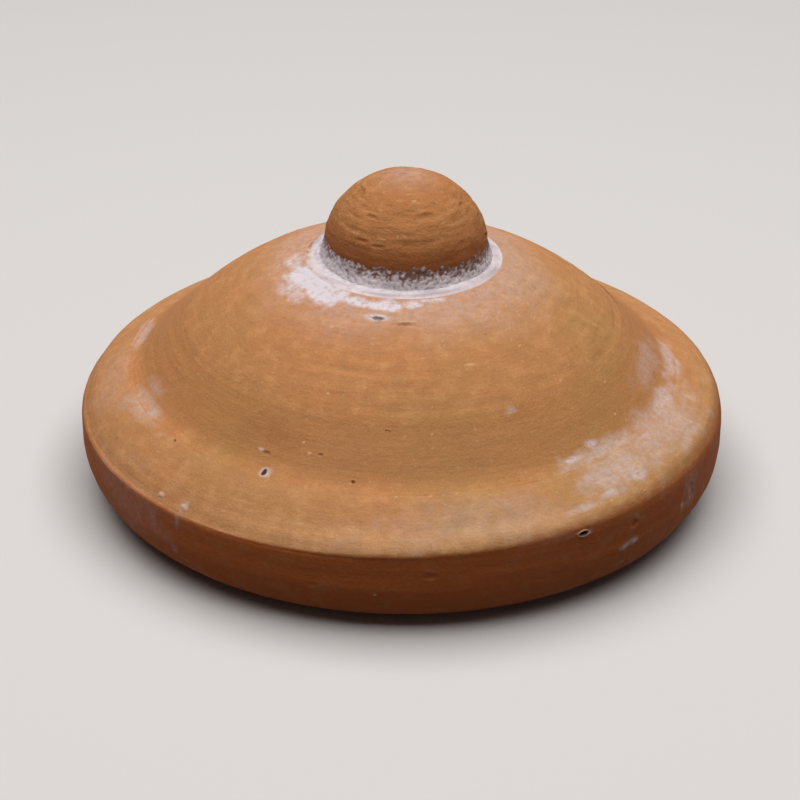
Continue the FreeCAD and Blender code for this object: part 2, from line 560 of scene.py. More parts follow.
@dataclass(frozen=True)
class Earthenware(Finish):
    """Unglazed earthenware, thrown on a wheel, wiped with a wet hand and fired without glaze.

    The eye gets a matt, chalky ochre with cloudy firing, soft bands from the wiping hand, dark and
    pale grit, and a white bloom of lime where damp came through. Lump sizes are in millimetres, and
    the grit and the bloom's powder are drawn coarser than they are, so that they show.
    """

    clay: str = "#C08450"
    warm: str = "#C4814C"
    dull: str = "#B6854D"
    # red-brown of the dish's band, partly real colour and partly painted shade; also painted shade on the
    # knob's lower part
    band: str = "#A85825"
    stain: str = "#A0683A"
    worn: str = "#D09E70"
    # painted shade: the dark brown laid by the SHADE mask in pits, on the knob's lower part and on the
    # band's front right
    hollow: str = "#3A2314"
    lime: str = "#DED3D8"
    cloud: float = 55.0
    drift: float = 93.5
    mottle: float = 7.0
    powder: float = 2.4
    speck: float = 2.2
    grit: float = 0.9
    wiping: float = 1.6
    wiping_lumps: float = 5.0
    stroke: float = 4.8
    stroke_lumps: float = 16.0
    relief: float = 0.35
    powder_relief: float = 2.0
    roughness: float = 0.82
    roughness_sway: float = 0.08
    gloss: float = 0.3

    NOISE_ROUGHNESS = 0.6

    def dress(self, tree: Tree) -> None:
        """Lay the finish's colours and relief.

        Args:
            tree: The material's node tree.
        """
        masks = {
            mask: add_node(tree, "Attribute", {}, attribute_name=mask.value).outputs["Fac"] for mask in Mask
        }
        place = add_node(tree, "TexCoord", {}).outputs["Object"]
        clouds, drifts, mottles, powder, specks, grit = (
            add_node(
                tree, "TexNoise",
                {"Vector": place, "Scale": per_metre(size), "Detail": detail,
                 "Roughness": self.NOISE_ROUGHNESS},
            ).outputs["Fac"]
            for size, detail in (
                (self.cloud, 3.0), (self.drift, 2.0), (self.mottle, 4.0), (self.powder, 5.0),
                (self.speck, 1.0), (self.grit, 2.0),
            )
        )
        wiping = self.drawn_out(tree, place, masks[Mask.ALONG], self.wiping_lumps, self.wiping)
        strokes = self.drawn_out(tree, place, masks[Mask.ALONG], self.stroke_lumps, self.stroke)
        seen = {"From Min": self.NOISE_LOW, "From Max": self.NOISE_HIGH}

        tone = self.veiled(tree, srgb(self.clay), (
            Veil(clouds, 0.4, 0.66, 0.8, self.warm),
            Veil(drifts, 0.46, 0.66, 0.8, self.dull),
            Veil(strokes, 0.5, 0.75, 0.2, self.stain),
            Veil(mottles, 0.5, 0.75, 0.34, self.worn),
            Veil(specks, 0.69, 0.74, 0.55, self.worn),
            Veil(specks, 0.27, 0.22, 0.5, self.stain),
        ))
        for mask, sway, colour in (
            (Mask.BAND, 0.2, self.band), (Mask.STAIN, 0.8, self.stain), (Mask.WEAR, 0.35, self.worn)
        ):
            share = self.broken(tree, masks[mask], mottles, sway)
            tone = add_node(tree, "Mix", {0: share, 6: tone, 7: srgb(colour)}, data_type="RGBA").outputs[2]
        for noise, sway in ((mottles, 0.08), (wiping, 0.04), (grit, 0.07)):
            value = add_node(
                tree, "MapRange", {"Value": noise, **seen, "To Min": 1 - sway, "To Max": 1 + sway}
            ).outputs["Result"]
            tone = add_node(tree, "HueSaturation", {"Color": tone, "Value": value}).outputs["Color"]
        lime = self.broken(tree, masks[Mask.LIME], powder, 0.6)
        # lime, then painted shade from the SHADE mask over it
        for share, colour in ((lime, self.lime), (masks[Mask.SHADE], self.hollow)):
            tone = add_node(tree, "Mix", {0: share, 6: tone, 7: srgb(colour)}, data_type="RGBA").outputs[2]

        rough = add_node(
            tree, "MapRange",
            {"Value": mottles, **seen, "To Min": self.roughness - self.roughness_sway,
             "To Max": self.roughness + self.roughness_sway},
        ).outputs["Result"]
        height = add_node(tree, "Math", {0: grit, 1: wiping}, operation="ADD").outputs[0]
        height = add_node(
            tree, "Math", {0: powder, 1: self.powder_relief, 2: height}, operation="MULTIPLY_ADD"
        ).outputs[0]
        surface = {"Base Color": tone, "Roughness": rough, "Specular IOR Level": self.gloss}
        self.close(tree, surface, height, self.relief)

    @staticmethod
    def drawn_out(tree: Tree, place: Socket, along: Socket, lumps: float, pitch: float) -> Socket:
        """Noise that the wiping hand drew out round the pot.

        Args:
            tree: The material's node tree.
            place: Where on the object.
            along: How far along the section, in millimetres.
            lumps: How many lumps there are to a radian.
            pitch: How far they lie apart along the section, in millimetres.

        Returns:
            The noise.
        """
        flat = add_node(tree, "VectorMath", {0: place, 1: (1.0, 1.0, 0.0)}, operation="MULTIPLY").outputs[0]
        facing = add_node(tree, "VectorMath", {0: flat}, operation="NORMALIZE").outputs[0]
        turned = add_node(tree, "VectorMath", {0: facing, "Scale": lumps}, operation="SCALE").outputs[0]
        rise = add_node(tree, "Math", {0: along, 1: 1 / pitch}, operation="MULTIPLY").outputs[0]
        lift = add_node(tree, "CombineXYZ", {"Z": rise}).outputs[0]
        spot = add_node(tree, "VectorMath", {0: turned, 1: lift}, operation="ADD").outputs[0]
        return add_node(tree, "TexNoise", {"Vector": spot, "Scale": 1.0, "Detail": 3.0}).outputs["Fac"]


@dataclass(frozen=True)
class LimeLuting(Finish):
    """Lime slip, spread wet with a finger and dried to a powdery crust.

    The eye gets a flat grey-white with painted shade in the finger's grooves and in its crumbled
    holes, with the clay below showing through where it was rubbed thin. Lump sizes are in millimetres.
    """

    name: str = "lime_slip_luting"
    lime: str = "#EDE2E6"
    grey: str = "#CBBDC1"
    # painted shade: brown laid in the ring's grooves and under the knob, and on the fillet over its bare
    # clay
    shaded_clay: str = "#5E4029"
    clay: str = "#C08450"
    crumb: float = 2.2
    drift: float = 13.2
    relief: float = 0.5
    roughness: float = 0.93
    gloss: float = 0.2

    NOISE_DETAIL = 5.0
    NOISE_ROUGHNESS = 0.65

    def dress(self, tree: Tree) -> None:
        """Lay the finish's colours and relief.

        Args:
            tree: The material's node tree.
        """
        shade, thin = (
            add_node(tree, "Attribute", {}, attribute_name=mask.value).outputs["Fac"]
            for mask in (Mask.SHADE, Mask.WEAR)
        )
        place = add_node(tree, "TexCoord", {}).outputs["Object"]
        powder, drifts = (
            add_node(
                tree, "TexNoise",
                {"Vector": place, "Scale": per_metre(size), "Detail": self.NOISE_DETAIL,
                 "Roughness": self.NOISE_ROUGHNESS},
            ).outputs["Fac"]
            for size in (self.crumb, self.drift)
        )
        tone = self.veiled(tree, srgb(self.lime), (
            Veil(drifts, 0.4, 0.65, 0.8, self.grey),
            Veil(powder, 0.52, 0.7, 0.5, self.grey),
        ))
        rubbed = self.broken(tree, thin, powder, 0.8)
        for share, colour in ((rubbed, self.clay), (shade, self.shaded_clay)):
            tone = add_node(tree, "Mix", {0: share, 6: tone, 7: srgb(colour)}, data_type="RGBA").outputs[2]
        surface = {"Base Color": tone, "Roughness": self.roughness, "Specular IOR Level": self.gloss}
        self.close(tree, surface, powder, self.relief)


@dataclass
class Ware:
    """A turned piece of the pot, uneven from the hand, with its marks and patches.

    Sizes are in millimetres. A pair says where something starts and ends: an ease, an edge or a fade
    past a spot of the section, and the marks' and patches' own as shares of their ovals.
    """

    finish: Finish
    marks: Sequence[Mark] = ()
    limed: Sequence[Patch] = ()
    stained: Sequence[Patch] = ()
    spots: dict[Spot, float] = field(default_factory=dict, init=False)

    NAME = ""
    NODE = ""
    BODY = Body.DISH
    SLOT = Slot.DISH
    SEED = 1
    SEGMENTS = 512
    CLOSED = False
    OUT_OF_ROUND = 0.4
    WOBBLES = (2, 3, 5)
    RING_DEPTH = 0.18
    RING_PITCH = 3.2
    RING_LUMPS = 3.0
    LUMP_DEPTH = 0.12
    LUMP_SIZE = 11.0
    GRAVEL_SHARE = 0.5
    GRAVEL_SIZE = 4.0
    FRAY_SHARE = 0.4
    FRAY_SIZE = 1.6
    MARK_RIM = (1.1, 0.35)  # middle and width
    MARK_SHADE = (0.6, 1.05)
    MARK_WORN = (0.2, 1.1)
    RIM_LIME = (0.7, 0.6)  # share without the fray, and what the fray adds
    PATCH_EDGE = (0.25, 1.15)
    PATCH_RAGGED = (0.45, 8.0)  # share and lump size
    PATCH_FINER = (0.3, 3.0)  # share and lump size
    MASK_MOST = 2.0
    REFINED = (2.6, 1.7)
    SHIFT = (0.0, 0.0)
    CREASE = math.radians(60)
    WALL_BACK = -0.2
    OUT_OF_SIGHT = (140.0, 220.0)
    WEATHER_WIDTH = (0.6, 1.4)
    WEATHER_HEIGHT = (0.5, 1.0)
    WEATHER: ClassVar[Sequence[Weathering]] = ()

    def section(self) -> Section:
        """The piece's half-section."""
        raise NotImplementedError

    def freedom(self, skin: Skin) -> Array:
        """Share of the hand's unevenness that each vertex shows, 0 where the piece fits another."""
        raise NotImplementedError

    def masks(self, skin: Skin) -> dict[Mask, Array]:
        """The piece's own masks, apart from those of its marks and patches."""
        return {}

    def warp(self, skin: Skin) -> Array:
        """How far the whole wall stands off its section, as offsets."""
        return np.zeros_like(skin.points)

    def outside(self) -> Pair:
        """Stretch along the section that the weather reaches."""
        return 0.0, 0.0

    def grain(self, draw: Draw, points: Array, size: float) -> Array:
        """The piece's own noise for one purpose, in lumps of a size."""
        return Grain(self.SEED + draw.value).at(points, size)

    def past(self, skin: Skin, spot: Spot, ends: Pair, sway: float | Array = 0.0) -> Array:
        """Rise from 0 to 1 along the section, near one of its spots.

        Args:
            skin: The piece's vertices.
            spot: The spot.
            ends: How far past the spot the rise starts and ends.
            sway: How much further along each vertex is taken to be.

        Returns:
            The rise at each vertex.
        """
        start, end = (self.spots[spot] + step for step in ends)
        return smooth(skin.along + sway, start, end)

    def build(self) -> None:
        """Make the piece, dress it and seat it on its body."""
        walk = self.section()
        self.spots = walk.spots
        self.marks = [*self.marks, *self.weathered(walk)]
        made = walk.turned(self.CLOSED)
        self.refine(made)
        made.normal_update()
        mesh = bpy.data.meshes.new(self.NAME)
        made.to_mesh(mesh)
        made.free()
        self.shape(mesh)
        mesh.materials.append(self.finish.material())
        piece = put(self.NAME, mesh)
        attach(piece, self.BODY.value)
        if self.NODE:
            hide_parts(self.NODE)
        log.info(
            "%s: %d faces, on %s, stands for %s",
            self.NAME, len(mesh.polygons), self.BODY.value, self.NODE or "no solid",
        )

    def weathered(self, walk: Section) -> list[Mark]:
        """Strew marks over the side that the photograph doesn't show, of the kinds that it shows in front.

        Args:
            walk: The piece's section.

        Returns:
            The marks.
        """
        draw = np.random.default_rng(self.SEED + Draw.WEATHER.value)
        places = [ring.along for ring in walk.rings]
        marks = []
        for kind, count, size, depth in self.WEATHER:
            for _ in range(count):
                spot = draw.uniform(*self.outside())
                width = size * draw.uniform(*self.WEATHER_WIDTH)
                marks.append(Mark(
                    draw.uniform(*self.OUT_OF_SIGHT),
                    float(np.interp(spot, places, [ring.radius for ring in walk.rings])),
                    float(np.interp(spot, places, [ring.level for ring in walk.rings])),
                    width, width * draw.uniform(*self.WEATHER_HEIGHT), depth, kind,
                ))
        return marks

    def refine(self, made: bmesh.types.BMesh) -> None:
        """Divide the faces near the marks, so that each mark has a shape of its own.

        Args:
            made: The turned mesh.
        """
        for reach in self.REFINED:
            edges = list(made.edges)
            middles = np.array([(edge.verts[0].co + edge.verts[1].co) / 2 for edge in edges])
            near = np.zeros(len(edges), bool)
            for mark in self.marks:
                near |= mark.spread(middles) < reach
            chosen = [edge for edge, wanted in zip(edges, near) if wanted]
            bmesh.ops.subdivide_edges(made, edges=chosen, cuts=1, use_grid_fill=True)

    @staticmethod
    def read(mesh: bpy.types.Mesh) -> Skin:
        """Read a turned mesh.

        Args:
            mesh: The mesh, in millimetres.

        Returns:
            Its vertices, their normals and their places along the section.
        """
        count = len(mesh.vertices)
        points, normals = np.zeros((2, count * 3), np.float32)
        along = np.zeros(count, np.float32)
        mesh.vertices.foreach_get("co", points)
        mesh.vertices.foreach_get("normal", normals)
        mesh.attributes[Mask.ALONG.value].data.foreach_get("value", along)
        points, normals = (values.reshape(-1, 3).astype(float) for values in (points, normals))
        return Skin(points, normals, along.astype(float))

    def shape(self, mesh: bpy.types.Mesh) -> None:
        """Give the turned mesh the hand's unevenness and its marks, and write its masks.

        Args:
            mesh: The mesh, in millimetres, which comes out in metres.
        """
        skin = self.read(mesh)
        masks = {mask: np.zeros(len(skin.along)) for mask in Mask if mask is not Mask.ALONG}
        height = self.unevenness(skin) * self.freedom(skin)
        fray = self.grain(Draw.FRAY, skin.points, self.FRAY_SIZE)
        for mark in self.marks:
            height += self.press(mark, skin, fray, masks)
        coarse, finer = self.PATCH_RAGGED, self.PATCH_FINER
        ragged = 1 + coarse[0] * self.grain(Draw.PATCH, skin.points, coarse[1])
        ragged += finer[0] * self.grain(Draw.DRIFT, skin.points, finer[1])
        for patches, mask in ((self.limed, Mask.LIME), (self.stained, Mask.STAIN)):
            for patch in patches:
                masks[mask] = np.maximum(masks[mask], self.cover(patch, skin, ragged))
        for mask, values in self.masks(skin).items():
            masks[mask] = np.maximum(masks[mask], values)

        offset = skin.normals * height[:, None] + self.warp(skin)
        shaped = (skin.points + offset + np.array([*self.SHIFT, 0.0])) * MM
        mesh.vertices.foreach_set("co", shaped.astype(np.float32).ravel())
        for mask, values in masks.items():
            layer = mesh.attributes.new(mask.value, "FLOAT", "POINT")
            layer.data.foreach_set("value", np.clip(values, 0, self.MASK_MOST).astype(np.float32))
        mesh.polygons.foreach_set("use_smooth", np.ones(len(mesh.polygons), bool))
        mesh.set_sharp_from_angle(angle=self.CREASE)
        mesh.update()

    def unevenness(self, skin: Skin) -> Array:
        """Height of the wobble, the throwing rings and the lumps.

        Args:
            skin: The piece's vertices.

        Returns:
            The height at each vertex.
        """
        turn = skin.turn
        draw = np.random.default_rng(self.SEED + Draw.WOBBLE.value)
        wobble = sum(np.cos(waves * turn + draw.uniform(0, 2 * math.pi)) / waves for waves in self.WOBBLES)
        climb = (skin.along + self.RING_PITCH * turn / (2 * math.pi)) / self.RING_PITCH
        thrown = np.column_stack([self.RING_LUMPS * np.cos(turn), self.RING_LUMPS * np.sin(turn), climb])
        rings = self.grain(Draw.RINGS, thrown, size=1.0)
        lumps = self.grain(Draw.LUMPS, skin.points, self.LUMP_SIZE)
        lumps += self.GRAVEL_SHARE * self.grain(Draw.GRAVEL, skin.points, self.GRAVEL_SIZE)
        return self.OUT_OF_ROUND * wobble / 2 + self.RING_DEPTH * rings + self.LUMP_DEPTH * lumps

    def facing(self, place: Place, skin: Skin) -> Array:
        """1 on the vertices that look outward at a place, 0 on the far side of the wall.

        Args:
            place: The place.
            skin: The piece's vertices.

        Returns:
            1 or 0 for each vertex.
        """
        outward = np.array(around(math.radians(place.azimuth), 1.0, 1.0))
        return (skin.normals @ outward > self.WALL_BACK).astype(float)

    def press(self, mark: Mark, skin: Skin, fray: Array, masks: dict[Mask, Array]) -> Array:
        """Press one mark into the ware and note its colours.

        Args:
            mark: The mark.
            skin: The piece's vertices.
            fray: Noise that makes the mark's edge uneven.
            masks: The masks that the mark adds to.

        Returns:
            The height that the mark adds at each vertex.
        """
        form = mark.kind.value
        near = self.facing(mark, skin)
        spread = mark.spread(skin.points) * (1 + self.FRAY_SHARE * fray)
        inside = (1 - smooth(spread, form.floor, 1.0)) * near
        rim = bell(spread, *self.MARK_RIM) * near
        least, more = self.RIM_LIME
        # the SHADE share is painted shade in the mark's hollow
        for mask, values in (
            (Mask.SHADE, form.shade * (1 - smooth(spread, *self.MARK_SHADE)) * near),
            (Mask.LIME, form.limed_rim * rim * (least + more * fray)),
            (Mask.WEAR, form.worn * (1 - smooth(spread, *self.MARK_WORN)) * near),
        ):
            masks[mask] = np.maximum(masks[mask], values)
        return mark.depth * (form.rim * rim - form.sink * inside)

    def cover(self, patch: Patch, skin: Skin, ragged: Array) -> Array:
        """Strength of a patch at each vertex.

        Args:
            patch: The patch.
            skin: The piece's vertices.
            ragged: Noise that makes the patch's edge uneven.

        Returns:
            The patch's strength there.
        """
        spread = patch.spread(skin.points) * ragged
        return patch.strength * (1 - smooth(spread, *self.PATCH_EDGE)) * self.facing(patch, skin)


@dataclass
class Dish(Ware):
    """The dish: foot, belly, broad brim, the gallery that the lid stands in, and the bowl."""

    belly_radius: float = 140.0
    belly_rounding: float = 26.0
    belly_wall: float = 22.0
    shoulder_height: float = 45.6
    shoulder_rounding: float = 7.0
    shoulder_rubbed: float = 1.6
    rubbed_width: float = 5.5
    sag: float = 6.0
    sag_azimuth: float = -38.0
    sag_below: float = 7.0
    sag_short: float = 3.0
    brim_rise: float = 10.4
    crest_rounding: float = 2.0
    gallery_radius: float = 113.5
    gallery_depth: float = 10.0
    ledge_width: float = 10.5
    lip_thickness: float = 8.0
    lip_rounding: float = 3.0
    undercut_rounding: float = 8.0
    bowl_rounding: float = 14.0
    floor_thickness: float = 12.0
    foot_rim: float = 2.0
    foot_ease: Pair = (0.5, 9.0)
    crest_ease: Pair = (-12.0, -5.0)
    lip_ease: Pair = (0.0, 3.0)
    side: Pair = (15.0, 65.0)
    left_sooner: float = 12.0
    # the band is partly red-brown clay and partly painted shade on the wall that faces outward and down
    # below the shoulder
    band_above: float = 1.5
    band_tilt: float = 3.0
    band_tilt_turn: float = 0.17
    band_sway: float = 0.9
    band_crumble: float = 1.1
    band_soft: float = 2.75
    band_softer: float = 3.6
    band_drop: float = 0.75
    # the worn shoulder edge is partly wear and partly a painted highlight on its rounding; the paler brim is
    # painted light on the upward-facing top
    worn_edge: Pair = (0.5, 1.5)
    worn_sides: float = 0.85
    worn_fade: Pair = (0.0, 12.0)
    worn_sway: float = 3.0
    wear_and_highlight_share: float = 0.5
    brim_edge: float = 3.0
    brim_light_share: float = 0.16
    # painted shade deepening the band towards the front right
    painted_shade_azimuth: float = 45.0
    painted_shade_width: float = 55.0
    painted_shade_share: float = 0.24

    NAME = "dish_ware"
    NODE = "base_dish"
    SEED = 11
    WEATHER = (
        Weathering(MarkKind.PIN_HOLE, 6, 1.7, 0.8),
        Weathering(MarkKind.FLECK, 9, 1.6, 0.15),
        Weathering(MarkKind.POP_OUT, 2, 4.0, 1.7),
        Weathering(MarkKind.CHIP, 3, 6.0, 0.6),
    )

    @property
    def brim_angle(self) -> float:
        """The brim's slope, in degrees."""
        return math.degrees(math.atan2(self.brim_rise, self.belly_radius - self.gallery_radius))

    def section(self) -> Section:
        """Walk from the middle of the dish's foot to the middle of its floor.

        Returns:
            The half-section.
        """
        crest = self.shoulder_height + self.brim_rise
        ledge = crest - self.gallery_depth
        lip = self.gallery_radius - self.ledge_width
        lip_foot = ledge - self.lip_thickness
        lip_round = lip + self.lip_rounding
        bowl = self.belly_radius - self.belly_wall
        bowl_foot = self.floor_thickness + self.bowl_rounding
        foot = self.belly_radius - self.belly_rounding
        lean = 90 - self.brim_angle
        shoulder = self.shoulder_height - self.shoulder_rounding * math.tan(math.radians(lean / 2))
        crest_turn = self.crest_rounding * math.tan(math.radians((180 - lean) / 2))
        crest_centre = (self.gallery_radius + self.crest_rounding, crest - crest_turn)

        walk = Section(0, 0, self.SEGMENTS // 2)
        walk.line(foot - self.foot_rim, 0, pitch=8)
        walk.segments = self.SEGMENTS
        walk.line(foot, 0, pitch=2)
        walk.arc((foot, self.belly_rounding), self.belly_rounding, -90, 0, pitch=1.2)
        walk.note(Spot.BELLY, back=self.belly_rounding)
        walk.line(self.belly_radius, shoulder, pitch=1)
        walk.note(Spot.SHOULDER)
        shoulder_centre = (self.belly_radius - self.shoulder_rounding, shoulder)
        walk.arc(shoulder_centre, self.shoulder_rounding, 0, lean, pitch=0.8)
        walk.note(Spot.BRIM)
        walk.line(
            crest_centre[0] + self.crest_rounding * math.cos(math.radians(lean)),
            crest_centre[1] + self.crest_rounding * math.sin(math.radians(lean)), pitch=0.8,
        )
        walk.note(Spot.CREST)
        walk.arc(crest_centre, self.crest_rounding, lean, 180, pitch=0.5)
        walk.note(Spot.FIT)
        walk.line(self.gallery_radius, ledge, pitch=1.2)
        walk.line(lip_round, ledge, pitch=1.5)
        walk.note(Spot.FIT_END)
        walk.arc((lip_round, ledge - self.lip_rounding), self.lip_rounding, 90, 180, pitch=0.8)
        walk.line(lip, lip_foot + self.lip_rounding, pitch=1)
        walk.segments = self.SEGMENTS // 2
        walk.arc((lip_round, lip_foot + self.lip_rounding), self.lip_rounding, 180, 270, pitch=1.2)
        walk.line(bowl - self.undercut_rounding, lip_foot, pitch=2)
        undercut_centre = (bowl - self.undercut_rounding, lip_foot - self.undercut_rounding)
        walk.arc(undercut_centre, self.undercut_rounding, 90, 0, pitch=1.6)
        walk.line(bowl, bowl_foot, pitch=2)
        walk.arc((bowl - self.bowl_rounding, bowl_foot), self.bowl_rounding, 0, -90, pitch=1.6)
        walk.line(0, self.floor_thickness, pitch=3.2)
        return walk

    def outside(self) -> Pair:
        """From the belly to the crest."""
        return self.spots[Spot.BELLY], self.spots[Spot.CREST]

    def beside(self, skin: Skin) -> Array:
        """0 at the front and 1 at the sides, sooner on the left."""
        return smooth(np.abs(skin.degrees) + self.left_sooner * (skin.degrees < 0), *self.side)

    def warp(self, skin: Skin) -> Array:
        """Hang the brim at the front, most on its left, and rub its shoulder rounder elsewhere.

        Args:
            skin: The dish's vertices.

        Returns:
            The offset of each vertex.
        """
        low = ((1 + np.cos(skin.turn - math.radians(self.sag_azimuth))) / 2) ** 2
        shoulder = (self.spots[Spot.SHOULDER] + self.spots[Spot.BRIM]) / 2
        rubbed = bell(skin.along, shoulder, self.rubbed_width) * self.beside(skin)
        hung = smooth(skin.along, self.spots[Spot.SHOULDER] - self.sag_below, shoulder)
        hung *= 1 - smooth(skin.along, shoulder, self.spots[Spot.CREST] - self.sag_short)
        hang = np.outer(self.sag * low * hung, (0, 0, 1))
        return -self.shoulder_rubbed * skin.normals * rubbed[:, None] - hang

    def freedom(self, skin: Skin) -> Array:
        """Keep the foot flat and the gallery true.

        Args:
            skin: The dish's vertices.

        Returns:
            The share of unevenness that each vertex shows.
        """
        inside = self.past(skin, Spot.FIT_END, self.lip_ease)
        fit = self.past(skin, Spot.CREST, self.crest_ease) * (1 - inside)
        return np.maximum(smooth(skin.level, *self.foot_ease), inside) * (1 - fit)

    def masks(self, skin: Skin) -> dict[Mask, Array]:
        """Paint the red-brown band below the shoulder, partly painted shade and darkest at the front right,
        and the worn brim, partly a painted highlight on its edge and painted light on its top.

        Args:
            skin: The dish's vertices.

        Returns:
            The masks.
        """
        sway = self.grain(Draw.DRIFT, skin.points, size=6.0)
        crumbled = self.grain(Draw.CRUMBLE, skin.points, size=2.4)
        beside = self.beside(skin)
        edge = self.spots[Spot.SHOULDER] + self.band_above
        place = skin.along + self.band_sway * sway + self.band_crumble * crumbled
        place -= self.band_tilt * np.sin(skin.turn + self.band_tilt_turn)
        soft = self.band_soft + self.band_softer * beside
        band = 1 - smooth(place, edge - soft - self.band_drop, edge + soft - self.band_drop)
        before, after = self.worn_edge
        worn = smooth(place, edge - before, edge + after) * (1 - self.worn_sides * beside)
        worn *= 1 - self.past(skin, Spot.BRIM, self.worn_fade, self.worn_sway * sway)
        brim = smooth(skin.along, edge, edge + self.brim_edge)
        brim *= 1 - smooth(skin.along, self.spots[Spot.CREST], self.spots[Spot.FIT])
        return {
            Mask.BAND: band,
            Mask.WEAR: np.maximum(self.wear_and_highlight_share * worn, self.brim_light_share * brim),
            Mask.SHADE: self.painted_shade_share * band * bell(skin.degrees, self.painted_shade_azimuth, self.painted_shade_width),
        }


@dataclass
class Lid(Ware):
    """The lid: a thrown shell on a flat edge, its crown trimmed flat for the knob."""

    seat_level: float = 46.0
    edge_radius: float = 112.2
    edge_height: float = 8.2
    edge_rounding: float = 1.5
    turn_rounding: float = 5.0
    seat_width: float = 9.0
    dome_rise: float = 49.0
    dome_curve: float = 127.0
    dome_wall: float = 9.0
    ceiling_rounding: float = 10.0
    crown_radius: float = 42.5
    crown_thickness: float = 12.0
    crown_rim: float = 6.0
    weather_short: float = 2.0
    seat_ease: Pair = (-3.0, 0.0)
    edge_ease: Pair = (0.0, 4.0)
    crown_ease: Pair = (-3.0, 1.0)
    wash: float = 0.9
    wash_edge: Pair = (0.0, 1.2)
    haze: float = 0.2
    haze_fade: Pair = (-34.0, -4.0)
    haze_sway: float = 6.0
    brown: float = 0.25
    brown_edge: Pair = (-3.0, 2.0)
    brown_fade: Pair = (8.0, 34.0)
    brown_sway: float = 10.0

    NAME = "lid_ware"
    NODE = "lid_dome"
    BODY = Body.LID
    SLOT = Slot.LID
    SEED = 23
    SEGMENTS = 480
    LUMP_DEPTH = 0.16
    LUMP_SIZE = 16.0
    WEATHER = (
        Weathering(MarkKind.PIN_HOLE, 6, 1.7, 0.8),
        Weathering(MarkKind.FLECK, 10, 1.6, 0.15),
        Weathering(MarkKind.POP_OUT, 1, 4.4, 1.5),
        Weathering(MarkKind.DENT, 3, 7.0, 0.5),
    )

    @property
    def dome_centre(self) -> Pair:
        """Centre of the dome's arc, from its foot and its crown.

        Returns:
            The centre's radius and level.
        """
        foot = Vector((self.edge_radius, self.seat_level + self.edge_height))
        crown = Vector((self.crown_radius, self.seat_level + self.edge_height + self.dome_rise))
        half = (crown - foot) / 2
        reach = math.sqrt(self.dome_curve ** 2 - half.length_squared)
        centre = foot + half + half.orthogonal().normalized() * reach
        return centre.x, centre.y

    def section(self) -> Section:
        """Walk from the middle of the lid's ceiling to the middle of its crown.

        Returns:
            The half-section.
        """
        middle, base = self.dome_centre
        crown = self.seat_level + self.edge_height + self.dome_rise
        ceiling = crown - self.crown_thickness
        inner = self.edge_radius - self.seat_width
        inner_curve = self.dome_curve - self.dome_wall
        round_level = ceiling - self.ceiling_rounding
        round_reach = math.sqrt((inner_curve - self.ceiling_rounding) ** 2 - (round_level - base) ** 2)
        round_angle = math.degrees(math.atan2(round_level - base, round_reach))
        inner_angle = math.degrees(math.acos((inner - middle) / inner_curve))
        turn_radius = self.edge_radius - self.turn_rounding
        turn_rise = math.sqrt((self.dome_curve - self.turn_rounding) ** 2 - (turn_radius - middle) ** 2)
        turn_angle = math.degrees(math.atan2(turn_rise, turn_radius - middle))
        crown_angle = math.degrees(math.atan2(crown - base, self.crown_radius - middle))
        edge = self.edge_rounding

        walk = Section(0, ceiling, self.SEGMENTS // 2)
        walk.line(middle + round_reach, ceiling, pitch=3.5)
        walk.arc((middle + round_reach, round_level), self.ceiling_rounding, 90, round_angle, pitch=1.6)
        walk.arc((middle, base), inner_curve, round_angle, inner_angle, pitch=2)
        walk.line(inner, self.seat_level + edge, pitch=1.6)
        walk.segments = self.SEGMENTS
        walk.note(Spot.FIT)
        walk.arc((inner + edge, self.seat_level + edge), edge, 180, 270, pitch=0.6)
        walk.line(self.edge_radius - edge, self.seat_level, pitch=2)
        walk.arc((self.edge_radius - edge, self.seat_level + edge), edge, -90, 0, pitch=0.6)
        walk.line(self.edge_radius, base + turn_rise, pitch=1)
        walk.note(Spot.FIT_END)
        walk.arc((turn_radius, base + turn_rise), self.turn_rounding, 0, turn_angle, pitch=0.8)
        walk.note(Spot.DOME_FOOT)
        walk.arc((middle, base), self.dome_curve, turn_angle, crown_angle, pitch=0.9)
        walk.note(Spot.CROWN)
        walk.line(self.crown_radius - self.crown_rim, crown, pitch=1)
        walk.segments = self.SEGMENTS // 2
        walk.line(0, crown, pitch=3.5)
        return walk

    def outside(self) -> Pair:
        """From the dome's foot to its crown."""
        return self.spots[Spot.DOME_FOOT] + self.weather_short, self.spots[Spot.CROWN] - self.weather_short

    def freedom(self, skin: Skin) -> Array:
        """The edge stays true to the gallery, and the crown to the luting."""
        fit = self.past(skin, Spot.FIT, self.seat_ease) * (1 - self.past(skin, Spot.FIT_END, self.edge_ease))
        return (1 - fit) * (1 - self.past(skin, Spot.CROWN, self.crown_ease))

    def masks(self, skin: Skin) -> dict[Mask, Array]:
        """Paint the crown's lime wash, its haze down the dome, and the browner foot.

        Args:
            skin: The lid's vertices.

        Returns:
            The masks.
        """
        drift = self.grain(Draw.DRIFT, skin.points, size=12.0)
        wash = self.past(skin, Spot.CROWN, self.wash_edge)
        haze = self.past(skin, Spot.CROWN, self.haze_fade, self.haze_sway * drift)
        brown = self.past(skin, Spot.FIT_END, self.brown_edge)
        brown *= 1 - self.past(skin, Spot.DOME_FOOT, self.brown_fade, self.brown_sway * drift)
        return {
            Mask.LIME: np.maximum(self.wash * wash, self.haze * haze),
            Mask.STAIN: self.brown * brown,
        }


